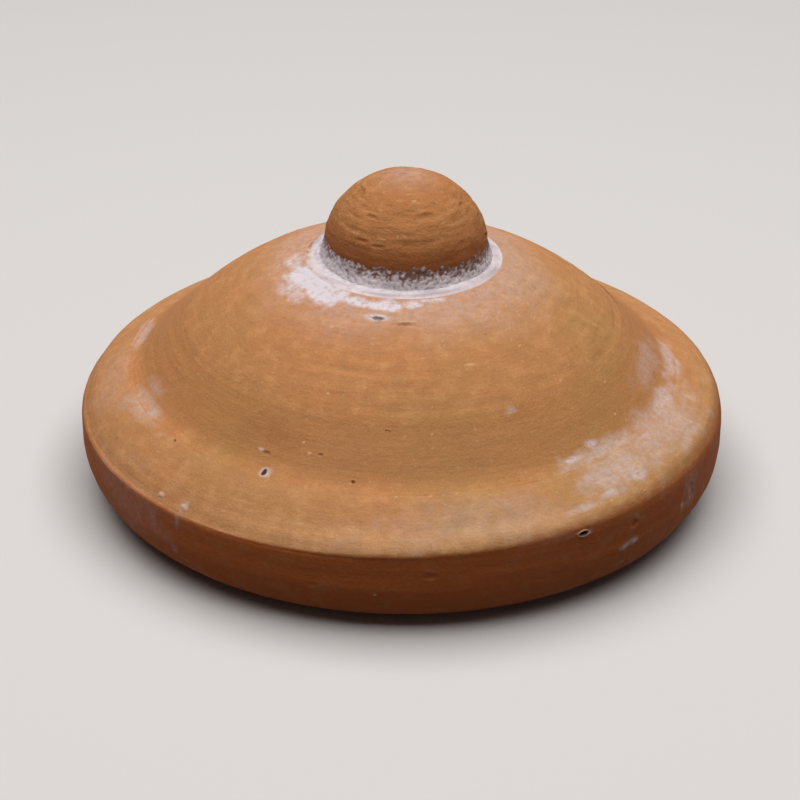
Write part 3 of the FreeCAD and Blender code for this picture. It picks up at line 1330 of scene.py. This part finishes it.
@dataclass
class Slurry(Ware):
    """Dried slurry that closed the joint in use, and lifts off with the lid.

    It runs straight on from the dome and turns out, in a hollow, over the gallery's crest to the brim.
    """

    dome_middle: Pair = (8.55, -19.1)
    dome_curve: float = 127.0
    dome_radius: float = 96.0
    brim_point: Pair = (116.2, 54.93)
    brim_angle: float = 21.43
    reach: float = 4.0
    bedding: float = 0.8
    bedding_step: float = 0.3
    clearance: float = 0.04
    under_valley: Pair = (3.0, 0.6)
    under_brim: Pair = (2.2, 0.1)
    lip: float = 1.0
    hollow_rings: int = 14
    brim_ease: Pair = (0.0, 2.0)
    dome_ease: Pair = (-2.0, 0.0)
    brown: float = 0.25
    brown_from: Pair = (2.0, 9.0)
    brown_sway: float = 2.0

    NAME = "joint_slurry"
    BODY = Body.LID
    SLOT = Slot.LID
    SEED = 71
    CLOSED = True
    OUT_OF_ROUND = 0.0
    RING_DEPTH = 0.08
    LUMP_DEPTH = 0.1

    def section(self) -> Section:
        """Walk from the brim, up a hollow and a straight slope to the dome, and back underneath.

        Returns:
            The section.
        """
        brim_slope = math.tan(math.radians(self.brim_angle))
        run = self.dome_radius - self.dome_middle[0]
        rise = math.sqrt(self.dome_curve ** 2 - run ** 2)
        top, slope = self.dome_middle[1] + rise, run / rise
        brim_foot = self.brim_point[1] + brim_slope * self.brim_point[0]
        valley = (top + slope * self.dome_radius - brim_foot) / (slope - brim_slope)
        turns = []
        for radius in (valley + self.reach, valley, valley - self.reach):
            level = max(brim_foot - brim_slope * radius, top - slope * (radius - self.dome_radius))
            turns.append((radius, level + self.clearance))

        walk = Section(turns[0][0] + self.lip, turns[0][1] - self.lip * brim_slope, self.SEGMENTS)
        for share in np.linspace(0, 1, self.hollow_rings):
            weights = ((1 - share) ** 2, 2 * share * (1 - share), share ** 2)
            walk.to(*(sum(weight * turn[axis] for weight, turn in zip(weights, turns)) for axis in (0, 1)))
        walk.line(self.dome_radius, top, pitch=1)
        walk.note(Spot.DOME)
        walk.line(self.dome_radius - self.bedding_step, top - self.bedding, pitch=0.8)
        inward, below = self.under_valley
        walk.line(valley - inward, self.brim_point[1] - below, pitch=2)
        inward, above = self.under_brim
        walk.line(self.brim_point[0] - inward, self.brim_point[1] + above + self.clearance, pitch=1.5)
        return walk

    def freedom(self, skin: Skin) -> Array:
        """Only its upper side is uneven."""
        return smooth(skin.along, *self.brim_ease) * (1 - self.past(skin, Spot.DOME, self.dome_ease))

    def masks(self, skin: Skin) -> dict[Mask, Array]:
        """Browner towards the dome and paler towards the brim, as the pieces that it joins."""
        drift = self.grain(Draw.DRIFT, skin.points, size=9.0)
        return {Mask.STAIN: self.brown * smooth(skin.along + self.brown_sway * drift, *self.brown_from)}


@dataclass
class Knob(Ware):
    """The knob: a ball cap over an undercut, on a short neck."""

    seat_level: float = 103.2
    neck_radius: float = 28.8
    neck_height: float = 2.0
    knob_radius: float = 36.0
    knob_undercut: float = 5.4
    edge_rounding: float = 4.0
    knob_rise: float = 31.0
    drawn_in: float = 1.3
    drawn_height: float = 12.0
    top_angles: Pair = (84.0, 89.0)
    weather_reach: float = 40.0
    neck_ease: float = 2.0
    # painted shade on the lower part under the cap's edge, and painted light on the top
    dark_fade: Pair = (-1.0, 16.0)
    dark_band: float = 0.6
    dark_shade: float = 0.22
    painted_top_light: float = 0.2
    painted_top_light_from: Pair = (30.0, 52.0)
    creep_finer: float = 0.7
    creep_sway: float = 1.5
    creep_edge: Pair = (-3.5, 0.5)

    NAME = "knob_ware"
    NODE = "knob"
    BODY = Body.LID
    SLOT = Slot.KNOB
    SEED = 37
    SEGMENTS = 288
    OUT_OF_ROUND = 0.5
    RING_DEPTH = 0.2
    RING_PITCH = 1.7
    LUMP_DEPTH = 0.26
    LUMP_SIZE = 6.0
    SHIFT = (0.9, 0.0)
    WEATHER = (
        Weathering(MarkKind.PIN_HOLE, 4, 1.4, 0.6),
        Weathering(MarkKind.FLECK, 5, 1.6, 0.2),
        Weathering(MarkKind.DENT, 3, 6.0, 0.6),
    )

    @property
    def neck_level(self) -> float:
        """Height of the neck's top."""
        return self.seat_level + self.neck_height

    @property
    def edge_level(self) -> float:
        """Height of the cap's edge, before it is rounded."""
        return self.neck_level + self.knob_undercut

    def section(self) -> Section:
        """Walk from the middle of the knob's foot to its top.

        Returns:
            The half-section.
        """
        neck = self.neck_level
        top = self.edge_level + self.knob_rise
        curve = (self.knob_radius ** 2 + self.knob_rise ** 2) / (2 * self.knob_rise)
        centre = Vector((0, top - curve))
        slope = Vector((self.knob_radius - self.neck_radius, self.knob_undercut)).normalized()
        inward = self.edge_rounding * Vector((-slope.y, slope.x))
        start = Vector((self.neck_radius, neck)) + inward - centre
        ahead = start.dot(slope)
        reach = math.sqrt(ahead ** 2 - start.length_squared + (curve - self.edge_rounding) ** 2) - ahead
        turn = start + reach * slope
        begin = math.degrees(math.atan2(-slope.x, slope.y))
        finish = math.degrees(math.atan2(turn.y, turn.x))
        undercut_end = turn + centre - inward
        steep, flat = self.top_angles

        walk = Section(0, self.seat_level, self.SEGMENTS // 2)
        walk.line(self.neck_radius, self.seat_level, pitch=4)
        walk.segments = self.SEGMENTS
        walk.line(self.neck_radius, neck, pitch=0.7)
        walk.line(undercut_end.x, undercut_end.y, pitch=0.6)
        walk.note(Spot.UNDERCUT)
        walk.arc(tuple(turn + centre), self.edge_rounding, begin, finish, pitch=0.6)
        walk.note(Spot.CAP)
        walk.arc(tuple(centre), curve, finish, steep, pitch=0.65)
        walk.segments = self.SEGMENTS // 2
        walk.arc(tuple(centre), curve, steep, flat, pitch=0.8)
        walk.to(0, top)
        return walk

    def outside(self) -> Pair:
        """From the cap's edge to its top."""
        return self.spots[Spot.CAP], self.spots[Spot.CAP] + self.weather_reach

    def warp(self, skin: Skin) -> Array:
        """Draw the ball in a little above its edge.

        Args:
            skin: The knob's vertices.

        Returns:
            The offset of each vertex.
        """
        above = smooth(skin.level, self.edge_level, self.edge_level + self.drawn_height)
        drawn = (1 - above) * smooth(skin.along, 0, self.spots[Spot.CAP])
        return -self.drawn_in * skin.normals * (1, 1, 0) * drawn[:, None]

    def freedom(self, skin: Skin) -> Array:
        """The foot stays on the crown."""
        return smooth(skin.level, self.neck_level, self.neck_level + self.neck_ease)

    def masks(self, skin: Skin) -> dict[Mask, Array]:
        """Paint the lime that crept up the neck, painted shade on the lower part and painted light on the
        top.

        Args:
            skin: The knob's vertices.

        Returns:
            The masks.
        """
        lower = 1 - self.past(skin, Spot.CAP, self.dark_fade)
        painted_top_light = self.past(skin, Spot.CAP, self.painted_top_light_from)
        creep = self.grain(Draw.DRIFT, skin.points, size=3.0)
        creep += self.creep_finer * self.grain(Draw.CREEP, skin.points, size=1.2)
        neck = 1 - self.past(skin, Spot.UNDERCUT, self.creep_edge, self.creep_sway * creep)
        return {
            Mask.LIME: np.maximum(neck * (0.5 + 0.5 * creep), self.painted_top_light * painted_top_light),
            Mask.BAND: self.dark_band * lower,
            Mask.SHADE: self.dark_shade * lower ** 2,
        }


@dataclass
class Luting(Ware):
    """The luting: a ring of lime slip on the crown, smoothed out to a thin edge by a finger."""

    seat_level: float = 103.2
    inner_radius: float = 28.9
    outer_radius: float = 42.2
    edge_height: float = 1.1
    edge_width: float = 3.0
    neck_height: float = 2.0
    bedded: Pair = (0.1, 0.9)
    neck_ease: Pair = (-1.0, 0.0)
    groove_size: float = 1.5
    groove_drawn: float = 0.12
    # painted shade in the finger's grooves and near the neck under the knob
    groove_shade: float = 0.32
    shade_near: Pair = (-11.0, -6.5)
    shade_least: float = 0.1
    shade_speck: float = 0.5
    thin_edge: Pair = (0.6, 3.4)
    thin_sway: float = 1.4
    thin_least: float = 0.12
    thin_left: float = 0.8
    thin_left_azimuth: float = -108.0
    thin_left_width: float = 28.0
    thin_back: float = 0.4
    thin_back_from: Pair = (110.0, 150.0)

    NAME = "luting_ring"
    NODE = "knob_collar"
    BODY = Body.LID
    SLOT = Slot.LUTING
    SEED = 53
    SEGMENTS = 288
    CLOSED = True
    OUT_OF_ROUND = 0.1
    RING_DEPTH = 0.26
    RING_PITCH = 1.8
    LUMP_DEPTH = 0.12
    LUMP_SIZE = 5.0

    def section(self) -> Section:
        """Walk from under the ring's neck side, out along the crown and back over its top.

        Returns:
            The section.
        """
        walk = Section(self.inner_radius, self.seat_level, self.SEGMENTS)
        walk.line(self.outer_radius, self.seat_level, pitch=3)
        walk.note(Spot.EDGE)
        walk.line(self.outer_radius - self.edge_width, self.seat_level + self.edge_height, pitch=0.5)
        walk.line(self.inner_radius, self.seat_level + self.neck_height, pitch=0.6)
        walk.note(Spot.NECK)
        walk.line(self.inner_radius, self.seat_level + self.neck_height / 2, pitch=0.7)
        return walk

    def freedom(self, skin: Skin) -> Array:
        """Keep the ring bedded on the crown and against the neck.

        Args:
            skin: The ring's vertices.

        Returns:
            The share of unevenness that each vertex shows.
        """
        low, high = self.bedded
        top = smooth(skin.level, self.seat_level + low, self.seat_level + high)
        return top * (1 - self.past(skin, Spot.NECK, self.neck_ease))

    def masks(self, skin: Skin) -> dict[Mask, Array]:
        """Lay painted shade in the grooves and by the fillet, and clay through the thin edge, most on the
        left.

        Args:
            skin: The ring's vertices.

        Returns:
            The masks.
        """
        speck = self.grain(Draw.DRIFT, skin.points, size=1.3)
        finger = np.column_stack([skin.points[:, :2] * self.groove_drawn, skin.along])
        groove = np.maximum(self.grain(Draw.CREEP, finger, self.groove_size), 0)
        near = self.past(skin, Spot.NECK, self.shade_near)
        drift = self.grain(Draw.CRUMBLE, skin.points, size=7.0)
        thin = 1 - self.past(skin, Spot.EDGE, self.thin_edge, self.thin_sway * drift)
        left = bell(skin.degrees, self.thin_left_azimuth, self.thin_left_width)
        back = smooth(np.abs(skin.degrees), *self.thin_back_from)
        thin *= self.thin_least + self.thin_left * left + self.thin_back * back
        shaded_clay = near * (self.shade_least + self.shade_speck * speck) + self.groove_shade * groove
        return {Mask.SHADE: np.clip(shaded_clay, 0, 1), Mask.WEAR: thin}


@dataclass
class Fillet(Ware):
    """The crumbling lime that was pressed in under the knob's edge."""

    foot_level: float = 104.1
    foot_radius: float = 37.0
    inner_radius: float = 31.0
    inner_lift: float = 0.6
    face_radius: float = 34.0
    face_bulge: float = 1.6
    face_drop: float = 0.8
    top_level: float = 113.4
    top_width: float = 2.2
    top_drop: float = 0.2
    crumb: float = 1.1
    crumb_depth: float = 0.5
    crumb_shares: Pair = (0.65, 0.6)
    face_ease: Pair = (-1.0, 0.6)
    ragged_depth: float = 0.6
    ragged_edge: Pair = (-4.0, 0.0)
    ragged_finer: float = 0.6
    # bare clay and painted shade between the crumbs, rising towards the shade under the knob's edge
    bare_shaded_least: float = -0.25
    bare_shaded_rise: float = 1.45
    bare_shaded_inset: float = 1.0
    bare_shaded_crumbs: float = 1.2
    bare_shaded_most: float = 0.92
    limed_left: float = 0.6
    limed_azimuth: float = -65.0
    limed_width: float = 40.0

    NAME = "luting_fillet"
    BODY = Body.LID
    SLOT = Slot.LUTING
    SEED = 61
    SEGMENTS = 432
    CLOSED = True
    RING_DEPTH = 0.0
    OUT_OF_ROUND = 0.2
    LUMP_DEPTH = 0.3
    LUMP_SIZE = 6.0
    SHIFT = (0.9, 0.0)

    def section(self) -> Section:
        """Walk from under the knob, over the ring, up to the knob's edge and back.

        Returns:
            The section.
        """
        middle = (self.foot_level + self.top_level) / 2
        walk = Section(self.inner_radius, self.foot_level + self.inner_lift, self.SEGMENTS)
        walk.line(self.foot_radius, self.foot_level, pitch=1.6)
        walk.note(Spot.FACE)
        walk.line(self.face_radius + self.face_bulge, middle - self.face_drop, pitch=0.45)
        walk.line(self.face_radius, self.top_level, pitch=0.45)
        walk.note(Spot.TOP)
        walk.line(self.face_radius - self.top_width, self.top_level - self.top_drop, pitch=0.7)
        return walk

    def freedom(self, skin: Skin) -> Array:
        """Only the face crumbles."""
        return self.past(skin, Spot.FACE, self.face_ease)

    def crumbs(self, skin: Skin) -> Array:
        """Height of the crumbs, from about -1 to 1.

        Args:
            skin: The fillet's vertices.

        Returns:
            The height at each vertex.
        """
        share, finer = self.crumb_shares
        coarse = share * self.grain(Draw.DRIFT, skin.points, self.crumb)
        return coarse + finer * self.grain(Draw.CREEP, skin.points, 0.6 * self.crumb)

    def unevenness(self, skin: Skin) -> Array:
        """Height of the crumbs and of the ragged upper edge.

        Args:
            skin: The fillet's vertices.

        Returns:
            The height at each vertex.
        """
        edge = self.past(skin, Spot.TOP, self.ragged_edge)
        ragged = self.grain(Draw.CRUMBLE, skin.points, size=5.0)
        ragged += self.ragged_finer * self.grain(Draw.RAVEL, skin.points, size=2.2)
        crumbled = super().unevenness(skin) + self.crumb_depth * self.crumbs(skin)
        return crumbled + self.ragged_depth * edge * ragged

    def masks(self, skin: Skin) -> dict[Mask, Array]:
        """Lay bare clay and painted shade between the crumbs, under the knob's edge and least on the left.

        Args:
            skin: The fillet's vertices.

        Returns:
            The masks.
        """
        foot, top = self.spots[Spot.FACE], self.spots[Spot.TOP]
        rise = smooth(skin.along, foot + self.bare_shaded_inset, top - self.bare_shaded_inset)
        left = bell(skin.degrees, self.limed_azimuth, self.limed_width)
        bare_shaded = self.bare_shaded_least + self.bare_shaded_rise * rise - self.limed_left * left
        bare_shaded -= self.bare_shaded_crumbs * self.crumbs(skin)
        return {Mask.SHADE: np.clip(bare_shaded, 0, self.bare_shaded_most)}


@dataclass
class Studio:
    """A pale floor under one broad soft light, and the camera of the photograph, in metres."""

    floor_radius: float = 9.0
    floor_sides: int = 96
    floor_seen: str = "#DCD8D5"
    floor_bounce: str = "#7E7977"
    floor_roughness: float = 0.95
    floor_gloss: float = 0.1
    floor_lit: Pair = (0.9, 2.4)
    ambient: float = 0.07
    softbox_side: float = 2.4
    softbox_height: float = 1.9
    softbox_power: float = 52.5
    camera_distance: float = 1.1
    camera_elevation: float = 27.11
    camera_roll: float = 0.75
    aim_height: float = 0.05
    aim_down: float = 0.753
    aim_left: float = 0.043
    sensor: float = 36.0
    lens: float = 113.04

    def build(self) -> None:
        """Set the floor, the light and the camera."""
        self.lay_floor()
        self.light()
        self.set_camera()

    def lay_floor(self) -> None:
        """Lay the floor as a stage."""
        made = bmesh.new()
        bmesh.ops.create_circle(made, cap_ends=True, radius=self.floor_radius, segments=self.floor_sides)
        mesh = bpy.data.meshes.new("studio_floor")
        made.to_mesh(mesh)
        made.free()
        mesh.materials.append(self.floor_paint())
        put("studio_floor", mesh)

    def floor_paint(self) -> bpy.types.Material:
        """Mix the floor's matt paint, which fades to the eye into the room beyond the light.

        Returns:
            The material.
        """
        paint = bpy.data.materials.new("matt_floor_paint")
        tree = bare_tree(paint)
        seen = self.seen(tree)
        colours = {0: seen, 6: srgb(self.floor_bounce), 7: srgb(self.floor_seen)}
        colour = add_node(tree, "Mix", colours, data_type="RGBA").outputs[2]
        shader = add_node(
            tree, "BsdfPrincipled",
            {"Base Color": colour, "Roughness": self.floor_roughness,
             "Specular IOR Level": self.floor_gloss},
        ).outputs["BSDF"]
        place = add_node(tree, "TexCoord", {}).outputs["Object"]
        distance = add_node(tree, "VectorMath", {0: place}, operation="LENGTH").outputs["Value"]
        near, far = self.floor_lit
        fade = add_node(tree, "MapRange", {"Value": distance, "From Min": near, "From Max": far})
        share = add_node(tree, "Math", {0: fade.outputs["Result"], 1: seen}, operation="MULTIPLY").outputs[0]
        haze = add_node(tree, "Emission", {"Color": srgb(self.floor_seen)}).outputs["Emission"]
        faded = add_node(tree, "MixShader", {0: share, 1: shader, 2: haze}).outputs["Shader"]
        add_node(tree, "OutputMaterial", {"Surface": faded})
        return paint

    @staticmethod
    def seen(tree: Tree) -> Socket:
        """1 for rays that show the background to the eye, directly or by gloss or glass.

        Args:
            tree: The node tree that asks.

        Returns:
            The socket that says so.
        """
        rays = add_node(tree, "LightPath", {}).outputs
        shown = rays["Is Camera Ray"]
        for kind in ("Is Glossy Ray", "Is Transmission Ray"):
            shown = add_node(tree, "Math", {0: shown, 1: rays[kind]}, operation="MAXIMUM").outputs[0]
        return shown

    def light(self) -> None:
        """Hang one broad softbox over the pot in a dim even room."""
        lamp = bpy.data.lights.new("softbox", "AREA")
        lamp.shape = "SQUARE"
        lamp.size = self.softbox_side
        lamp.energy = self.softbox_power
        put("softbox", lamp).location = (0.0, 0.0, self.softbox_height)

        world = bpy.data.worlds.new("pale_room")
        tree = bare_tree(world)
        levels = {"Value": self.seen(tree), "To Min": self.ambient, "To Max": 1.0}
        strength = add_node(tree, "MapRange", levels).outputs["Result"]
        sky = add_node(tree, "Background", {"Color": srgb(self.floor_seen), "Strength": strength})
        add_node(tree, "OutputWorld", {"Surface": sky.outputs["Background"]})
        bpy.context.scene.world = world
        bpy.context.scene.view_settings.view_transform = "Standard"

    def set_camera(self) -> None:
        """Stand the camera where the photograph was taken from."""
        lens = bpy.data.cameras.new("camera")
        lens.sensor_width = self.sensor
        lens.lens = self.lens
        camera = put("camera", lens)
        rise = math.radians(self.camera_elevation)
        back = Vector((0, -math.cos(rise), math.sin(rise)))
        camera.location = Vector((0, 0, self.aim_height)) + self.camera_distance * back
        camera.rotation_mode = "QUATERNION"
        camera.rotation_quaternion = (
            (-back).to_track_quat("-Z", "Y")
            @ Quaternion((1, 0, 0), -math.radians(self.aim_down))
            @ Quaternion((0, 1, 0), math.radians(self.aim_left))
            @ Quaternion((0, 0, 1), math.radians(self.camera_roll))
        )
        bpy.context.scene.camera = camera


POP_OUT, PIN_HOLE, CHIP, DENT, FLECK = MarkKind
DISH_MARKS = (
    Mark(31.5, 139.9, 39.2, 4.6, 3.4, 2.2, POP_OUT),
    Mark(-50.9, 119.8, 53.2, 1.8, 1.8, 0.9, PIN_HOLE),
    Mark(42.7, 140.0, 33.0, 5.0, 5.0, 0.9, DENT),
    Mark(41.6, 139.6, 23.0, 5.5, 6.0, 0.5, DENT),
    Mark(41.8, 137.2, 14.2, 6.0, 4.0, 0.6, CHIP),
    Mark(59.8, 140.0, 29.8, 4.0, 9.0, 0.7, CHIP),
    Mark(56.8, 140.0, 26.6, 3.0, 7.0, 0.5, CHIP),
    Mark(-45.3, 137.6, 46.1, 5.0, 3.0, 0.5, FLECK),
    Mark(-39.5, 137.8, 45.9, 5.0, 4.0, 0.5, FLECK),
    Mark(-39.4, 137.5, 14.9, 7.0, 3.0, 0.5, CHIP),
    Mark(-58.0, 135.7, 11.6, 8.0, 3.0, 0.5, CHIP),
    Mark(-14.2, 139.7, 22.1, 5.0, 3.5, 0.5, DENT),
    Mark(4.9, 140.0, 28.6, 6.0, 4.0, 0.6, DENT),
    Mark(-4.0, 139.3, 20.0, 1.8, 1.5, 0.2, FLECK),
    Mark(-0.9, 119.8, 53.3, 2.0, 1.6, 0.2, FLECK),
    Mark(5.6, 119.5, 53.4, 1.4, 1.2, 0.15, FLECK),
    Mark(8.2, 123.2, 52.0, 1.3, 1.6, 0.15, FLECK),
    Mark(10.8, 118.8, 53.7, 1.4, 1.2, 0.15, FLECK),
    Mark(17.0, 121.0, 52.9, 2.2, 1.2, 0.15, FLECK),
    Mark(17.3, 135.5, 46.9, 2.6, 1.8, 0.2, FLECK),
    Mark(23.7, 135.3, 47.0, 1.6, 1.4, 0.15, FLECK),
    Mark(32.3, 136.0, 46.7, 1.8, 1.4, 0.15, FLECK),
    Mark(35.9, 136.0, 46.7, 1.5, 1.5, 0.15, FLECK),
    Mark(38.8, 135.4, 47.0, 2.0, 1.4, 0.15, FLECK),
    Mark(46.3, 137.4, 46.0, 2.4, 1.6, 0.2, FLECK),
    Mark(47.5, 130.2, 49.4, 2.8, 1.6, 0.2, FLECK),
    Mark(69.8, 130.6, 49.2, 3.0, 1.6, 0.2, FLECK),
)
DISH_LIME = (
    Patch(44.0, 126.0, 50.8, 56.0, 22.0, 0.32),
    Patch(38.3, 124.2, 51.6, 12.0, 6.0, 0.42),
    Patch(47.4, 131.4, 48.9, 14.0, 5.0, 0.42),
    Patch(39.3, 132.7, 48.3, 16.0, 5.0, 0.45),
    Patch(33.0, 134.0, 47.6, 30.0, 5.0, 0.35),
    Patch(15.0, 129.0, 50.0, 110.0, 24.0, 0.1),
    Patch(66.7, 131.8, 48.8, 22.0, 8.0, 0.3),
    Patch(71.4, 117.5, 54.1, 40.0, 10.0, 0.35),
    Patch(90.4, 117.0, 54.4, 40.0, 9.0, 0.35),
    Patch(62.0, 122.0, 52.5, 90.0, 30.0, 0.26),
    Patch(-99.2, 117.0, 54.4, 40.0, 8.0, 0.3),
    Patch(-85.0, 124.0, 51.7, 60.0, 22.0, 0.09),
    Patch(-66.0, 120.0, 53.4, 34.0, 12.0, 0.2),
    Patch(-55.0, 139.0, 30.0, 70.0, 34.0, 0.09),
    Patch(40.6, 140.0, 23.9, 8.0, 2.6, 0.55),
    Patch(42.4, 140.0, 24.8, 6.0, 2.2, 0.5),
    Patch(32.7, 139.9, 38.2, 3.0, 2.4, 1.3),
    Patch(57.0, 140.0, 26.8, 2.6, 5.0, 0.5),
    Patch(60.2, 140.0, 30.0, 2.6, 6.0, 0.4),
    Patch(60.0, 139.0, 33.0, 18.0, 26.0, 0.14),
    Patch(-45.3, 137.6, 46.1, 5.0, 4.0, 0.3),
    Patch(-39.5, 137.8, 45.9, 5.0, 5.0, 0.34),
    Patch(-40.0, 140.0, 35.0, 3.0, 10.0, 0.24),
    Patch(-46.1, 140.0, 27.0, 3.0, 14.0, 0.2),
    Patch(-41.1, 139.1, 19.3, 4.0, 6.0, 0.22),
    Patch(150.0, 122.0, 52.5, 60.0, 20.0, 0.35),
    Patch(205.0, 131.0, 49.0, 34.0, 10.0, 0.4),
    Patch(236.0, 139.0, 30.0, 26.0, 22.0, 0.22),
    Patch(128.0, 139.5, 24.0, 7.0, 22.0, 0.3),
)
DISH_STAIN = (
    Patch(-24.0, 136.0, 44.5, 30.0, 5.0, 0.4),
    Patch(-33.0, 119.0, 53.4, 30.0, 9.0, 0.3),
    Patch(168.0, 139.0, 22.0, 60.0, 20.0, 0.4),
)
LID_MARKS = (
    Mark(-11.0, 53.9, 99.5, 8.4, 2.2, 1.0, PIN_HOLE),
    Mark(0.9, 56.7, 98.4, 11.0, 3.0, 0.8, DENT),
    Mark(1.5, 55.2, 99.0, 10.0, 1.2, 0.25, FLECK),
    Mark(-19.8, 88.2, 79.8, 1.8, 1.3, 0.2, FLECK),
    Mark(45.5, 91.3, 77.2, 2.0, 1.5, 0.2, FLECK),
    Mark(50.0, 62.9, 95.7, 1.8, 1.4, 0.2, FLECK),
    Mark(40.4, 74.4, 89.4, 2.0, 1.4, 0.2, FLECK),
    Mark(20.9, 76.7, 88.0, 6.0, 1.2, 0.15, FLECK),
    Mark(-28.0, 62.0, 96.1, 2.2, 1.8, 0.2, FLECK),
)
SLURRY_MARKS = (
    Mark(-27.9, 117.2, 54.8, 2.6, 3.8, 0.05, POP_OUT),
    Mark(-29.5, 110.3, 59.5, 4.0, 2.4, 0.5, DENT),
    Mark(-3.1, 98.1, 71.0, 2.1, 1.8, 1.0, PIN_HOLE),
    Mark(-9.5, 114.6, 56.4, 2.4, 1.8, 0.8, PIN_HOLE),
    Mark(-17.4, 107.2, 62.4, 3.0, 1.8, 0.5, DENT),
    Mark(7.1, 99.0, 70.1, 1.6, 1.4, 0.2, FLECK),
    Mark(0.8, 99.5, 69.7, 1.6, 1.4, 0.2, FLECK),
    Mark(-22.0, 104.5, 64.9, 1.4, 1.4, 0.2, FLECK),
    Mark(-20.0, 107.5, 62.1, 1.5, 1.5, 0.2, FLECK),
    Mark(54.7, 108.2, 61.4, 2.0, 1.4, 0.2, FLECK),
    Mark(58.8, 98.7, 70.4, 1.8, 1.4, 0.2, FLECK),
)
SLURRY_LIME = (
    Patch(43.7, 112.5, 57.6, 10.0, 5.0, 0.55),
    Patch(37.0, 115.0, 56.0, 9.0, 4.0, 0.6),
    Patch(46.0, 116.0, 55.4, 50.0, 12.0, 0.32),
    Patch(-27.9, 117.2, 54.8, 5.0, 5.6, 0.55),
    Patch(-31.0, 109.6, 60.2, 4.0, 2.0, 0.5),
    Patch(71.4, 116.5, 55.0, 44.0, 9.0, 0.4),
    Patch(90.4, 116.0, 55.2, 40.0, 8.0, 0.35),
    Patch(62.0, 117.0, 54.7, 60.0, 14.0, 0.25),
    Patch(-69.4, 111.0, 59.0, 24.0, 8.0, 0.16),
    Patch(-62.6, 117.0, 54.8, 10.0, 6.0, 0.36),
    Patch(-68.0, 116.0, 55.2, 34.0, 9.0, 0.22),
    Patch(-99.2, 116.0, 55.2, 44.0, 8.0, 0.3),
    Patch(80.0, 106.0, 63.5, 60.0, 12.0, 0.2),
    Patch(160.0, 115.0, 55.8, 50.0, 9.0, 0.3),
)
LID_LIME = (
    Patch(-62.0, 44.5, 102.6, 28.0, 19.0, 1.2),
    Patch(-46.0, 48.5, 101.4, 26.0, 14.0, 1.15),
    Patch(-57.0, 54.0, 99.2, 30.0, 14.0, 0.5),
    Patch(-38.0, 45.0, 102.4, 20.0, 12.0, 1.0),
    Patch(-24.0, 46.0, 102.2, 20.0, 9.0, 1.0),
    Patch(-8.0, 46.8, 102.0, 22.0, 9.0, 1.1),
    Patch(4.0, 45.8, 102.3, 14.0, 6.0, 0.9),
    Patch(14.7, 43.9, 102.9, 12.0, 3.0, 0.7),
    Patch(-84.0, 47.0, 101.9, 26.0, 12.0, 0.6),
    Patch(-10.5, 53.7, 99.6, 17.0, 6.6, 0.7),
    Patch(-56.0, 43.2, 102.8, 44.0, 8.0, 1.5),
    Patch(27.4, 95.0, 73.9, 6.0, 5.0, 0.25),
    Patch(-92.0, 108.0, 59.8, 40.0, 7.0, 0.25),
    Patch(80.0, 106.0, 62.4, 60.0, 12.0, 0.2),
    Patch(170.0, 46.0, 102.2, 26.0, 7.0, 0.6),
    Patch(222.0, 100.0, 69.0, 40.0, 14.0, 0.25),
)
LID_STAIN = (
    Patch(-30.0, 103.0, 65.6, 62.0, 24.0, 0.5),
    Patch(-8.0, 108.5, 59.2, 50.0, 10.0, 0.35),
    Patch(140.0, 96.0, 72.8, 60.0, 30.0, 0.4),
)
SLURRY_STAIN = (
    Patch(-30.0, 103.0, 66.4, 62.0, 24.0, 0.5),
    Patch(-8.0, 108.5, 61.1, 50.0, 12.0, 0.35),
)
KNOB_MARKS = (
    Mark(9.7, 18.6, 136.5, 2.6, 1.8, 0.3, FLECK),
    Mark(80.4, 34.8, 115.9, 5.0, 2.6, 1.6, DENT),
    Mark(-34.5, 25.9, 130.8, 8.0, 3.0, 0.4, DENT),
    Mark(18.4, 24.6, 132.0, 9.0, 3.4, 0.4, DENT),
    Mark(-72.6, 19.7, 135.8, 7.0, 4.0, 0.5, DENT),
    Mark(68.2, 25.1, 131.5, 7.0, 4.0, 0.5, DENT),
    Mark(-22.3, 32.7, 121.2, 10.0, 2.4, 0.4, DENT),
    Mark(-34.6, 32.2, 122.1, 8.0, 2.2, 0.4, DENT),
)


def main() -> None:
    """Build the pot's pieces in order, then the studio."""
    logging.basicConfig(level=logging.INFO, format="%(name)s: %(message)s")
    for ware in (
        Dish(Earthenware("unglazed_earthenware_wiped_dish"), DISH_MARKS, DISH_LIME, DISH_STAIN),
        Lid(Earthenware("unglazed_earthenware_wiped_lid"), LID_MARKS, LID_LIME, LID_STAIN),
        Slurry(Earthenware("dried_clay_slurry"), SLURRY_MARKS, SLURRY_LIME, SLURRY_STAIN),
        Knob(Earthenware(
            "unglazed_earthenware_coarse_knob", clay="#B57845", warm="#BA7843", dull="#AC7A43", relief=0.6
        ), KNOB_MARKS),
        Luting(LimeLuting()),
        Fillet(LimeLuting("lime_crumbs_luting", shaded_clay="#74452A")),
    ):
        ware.build()
    Studio().build()


if __name__ == "__main__":
    main()
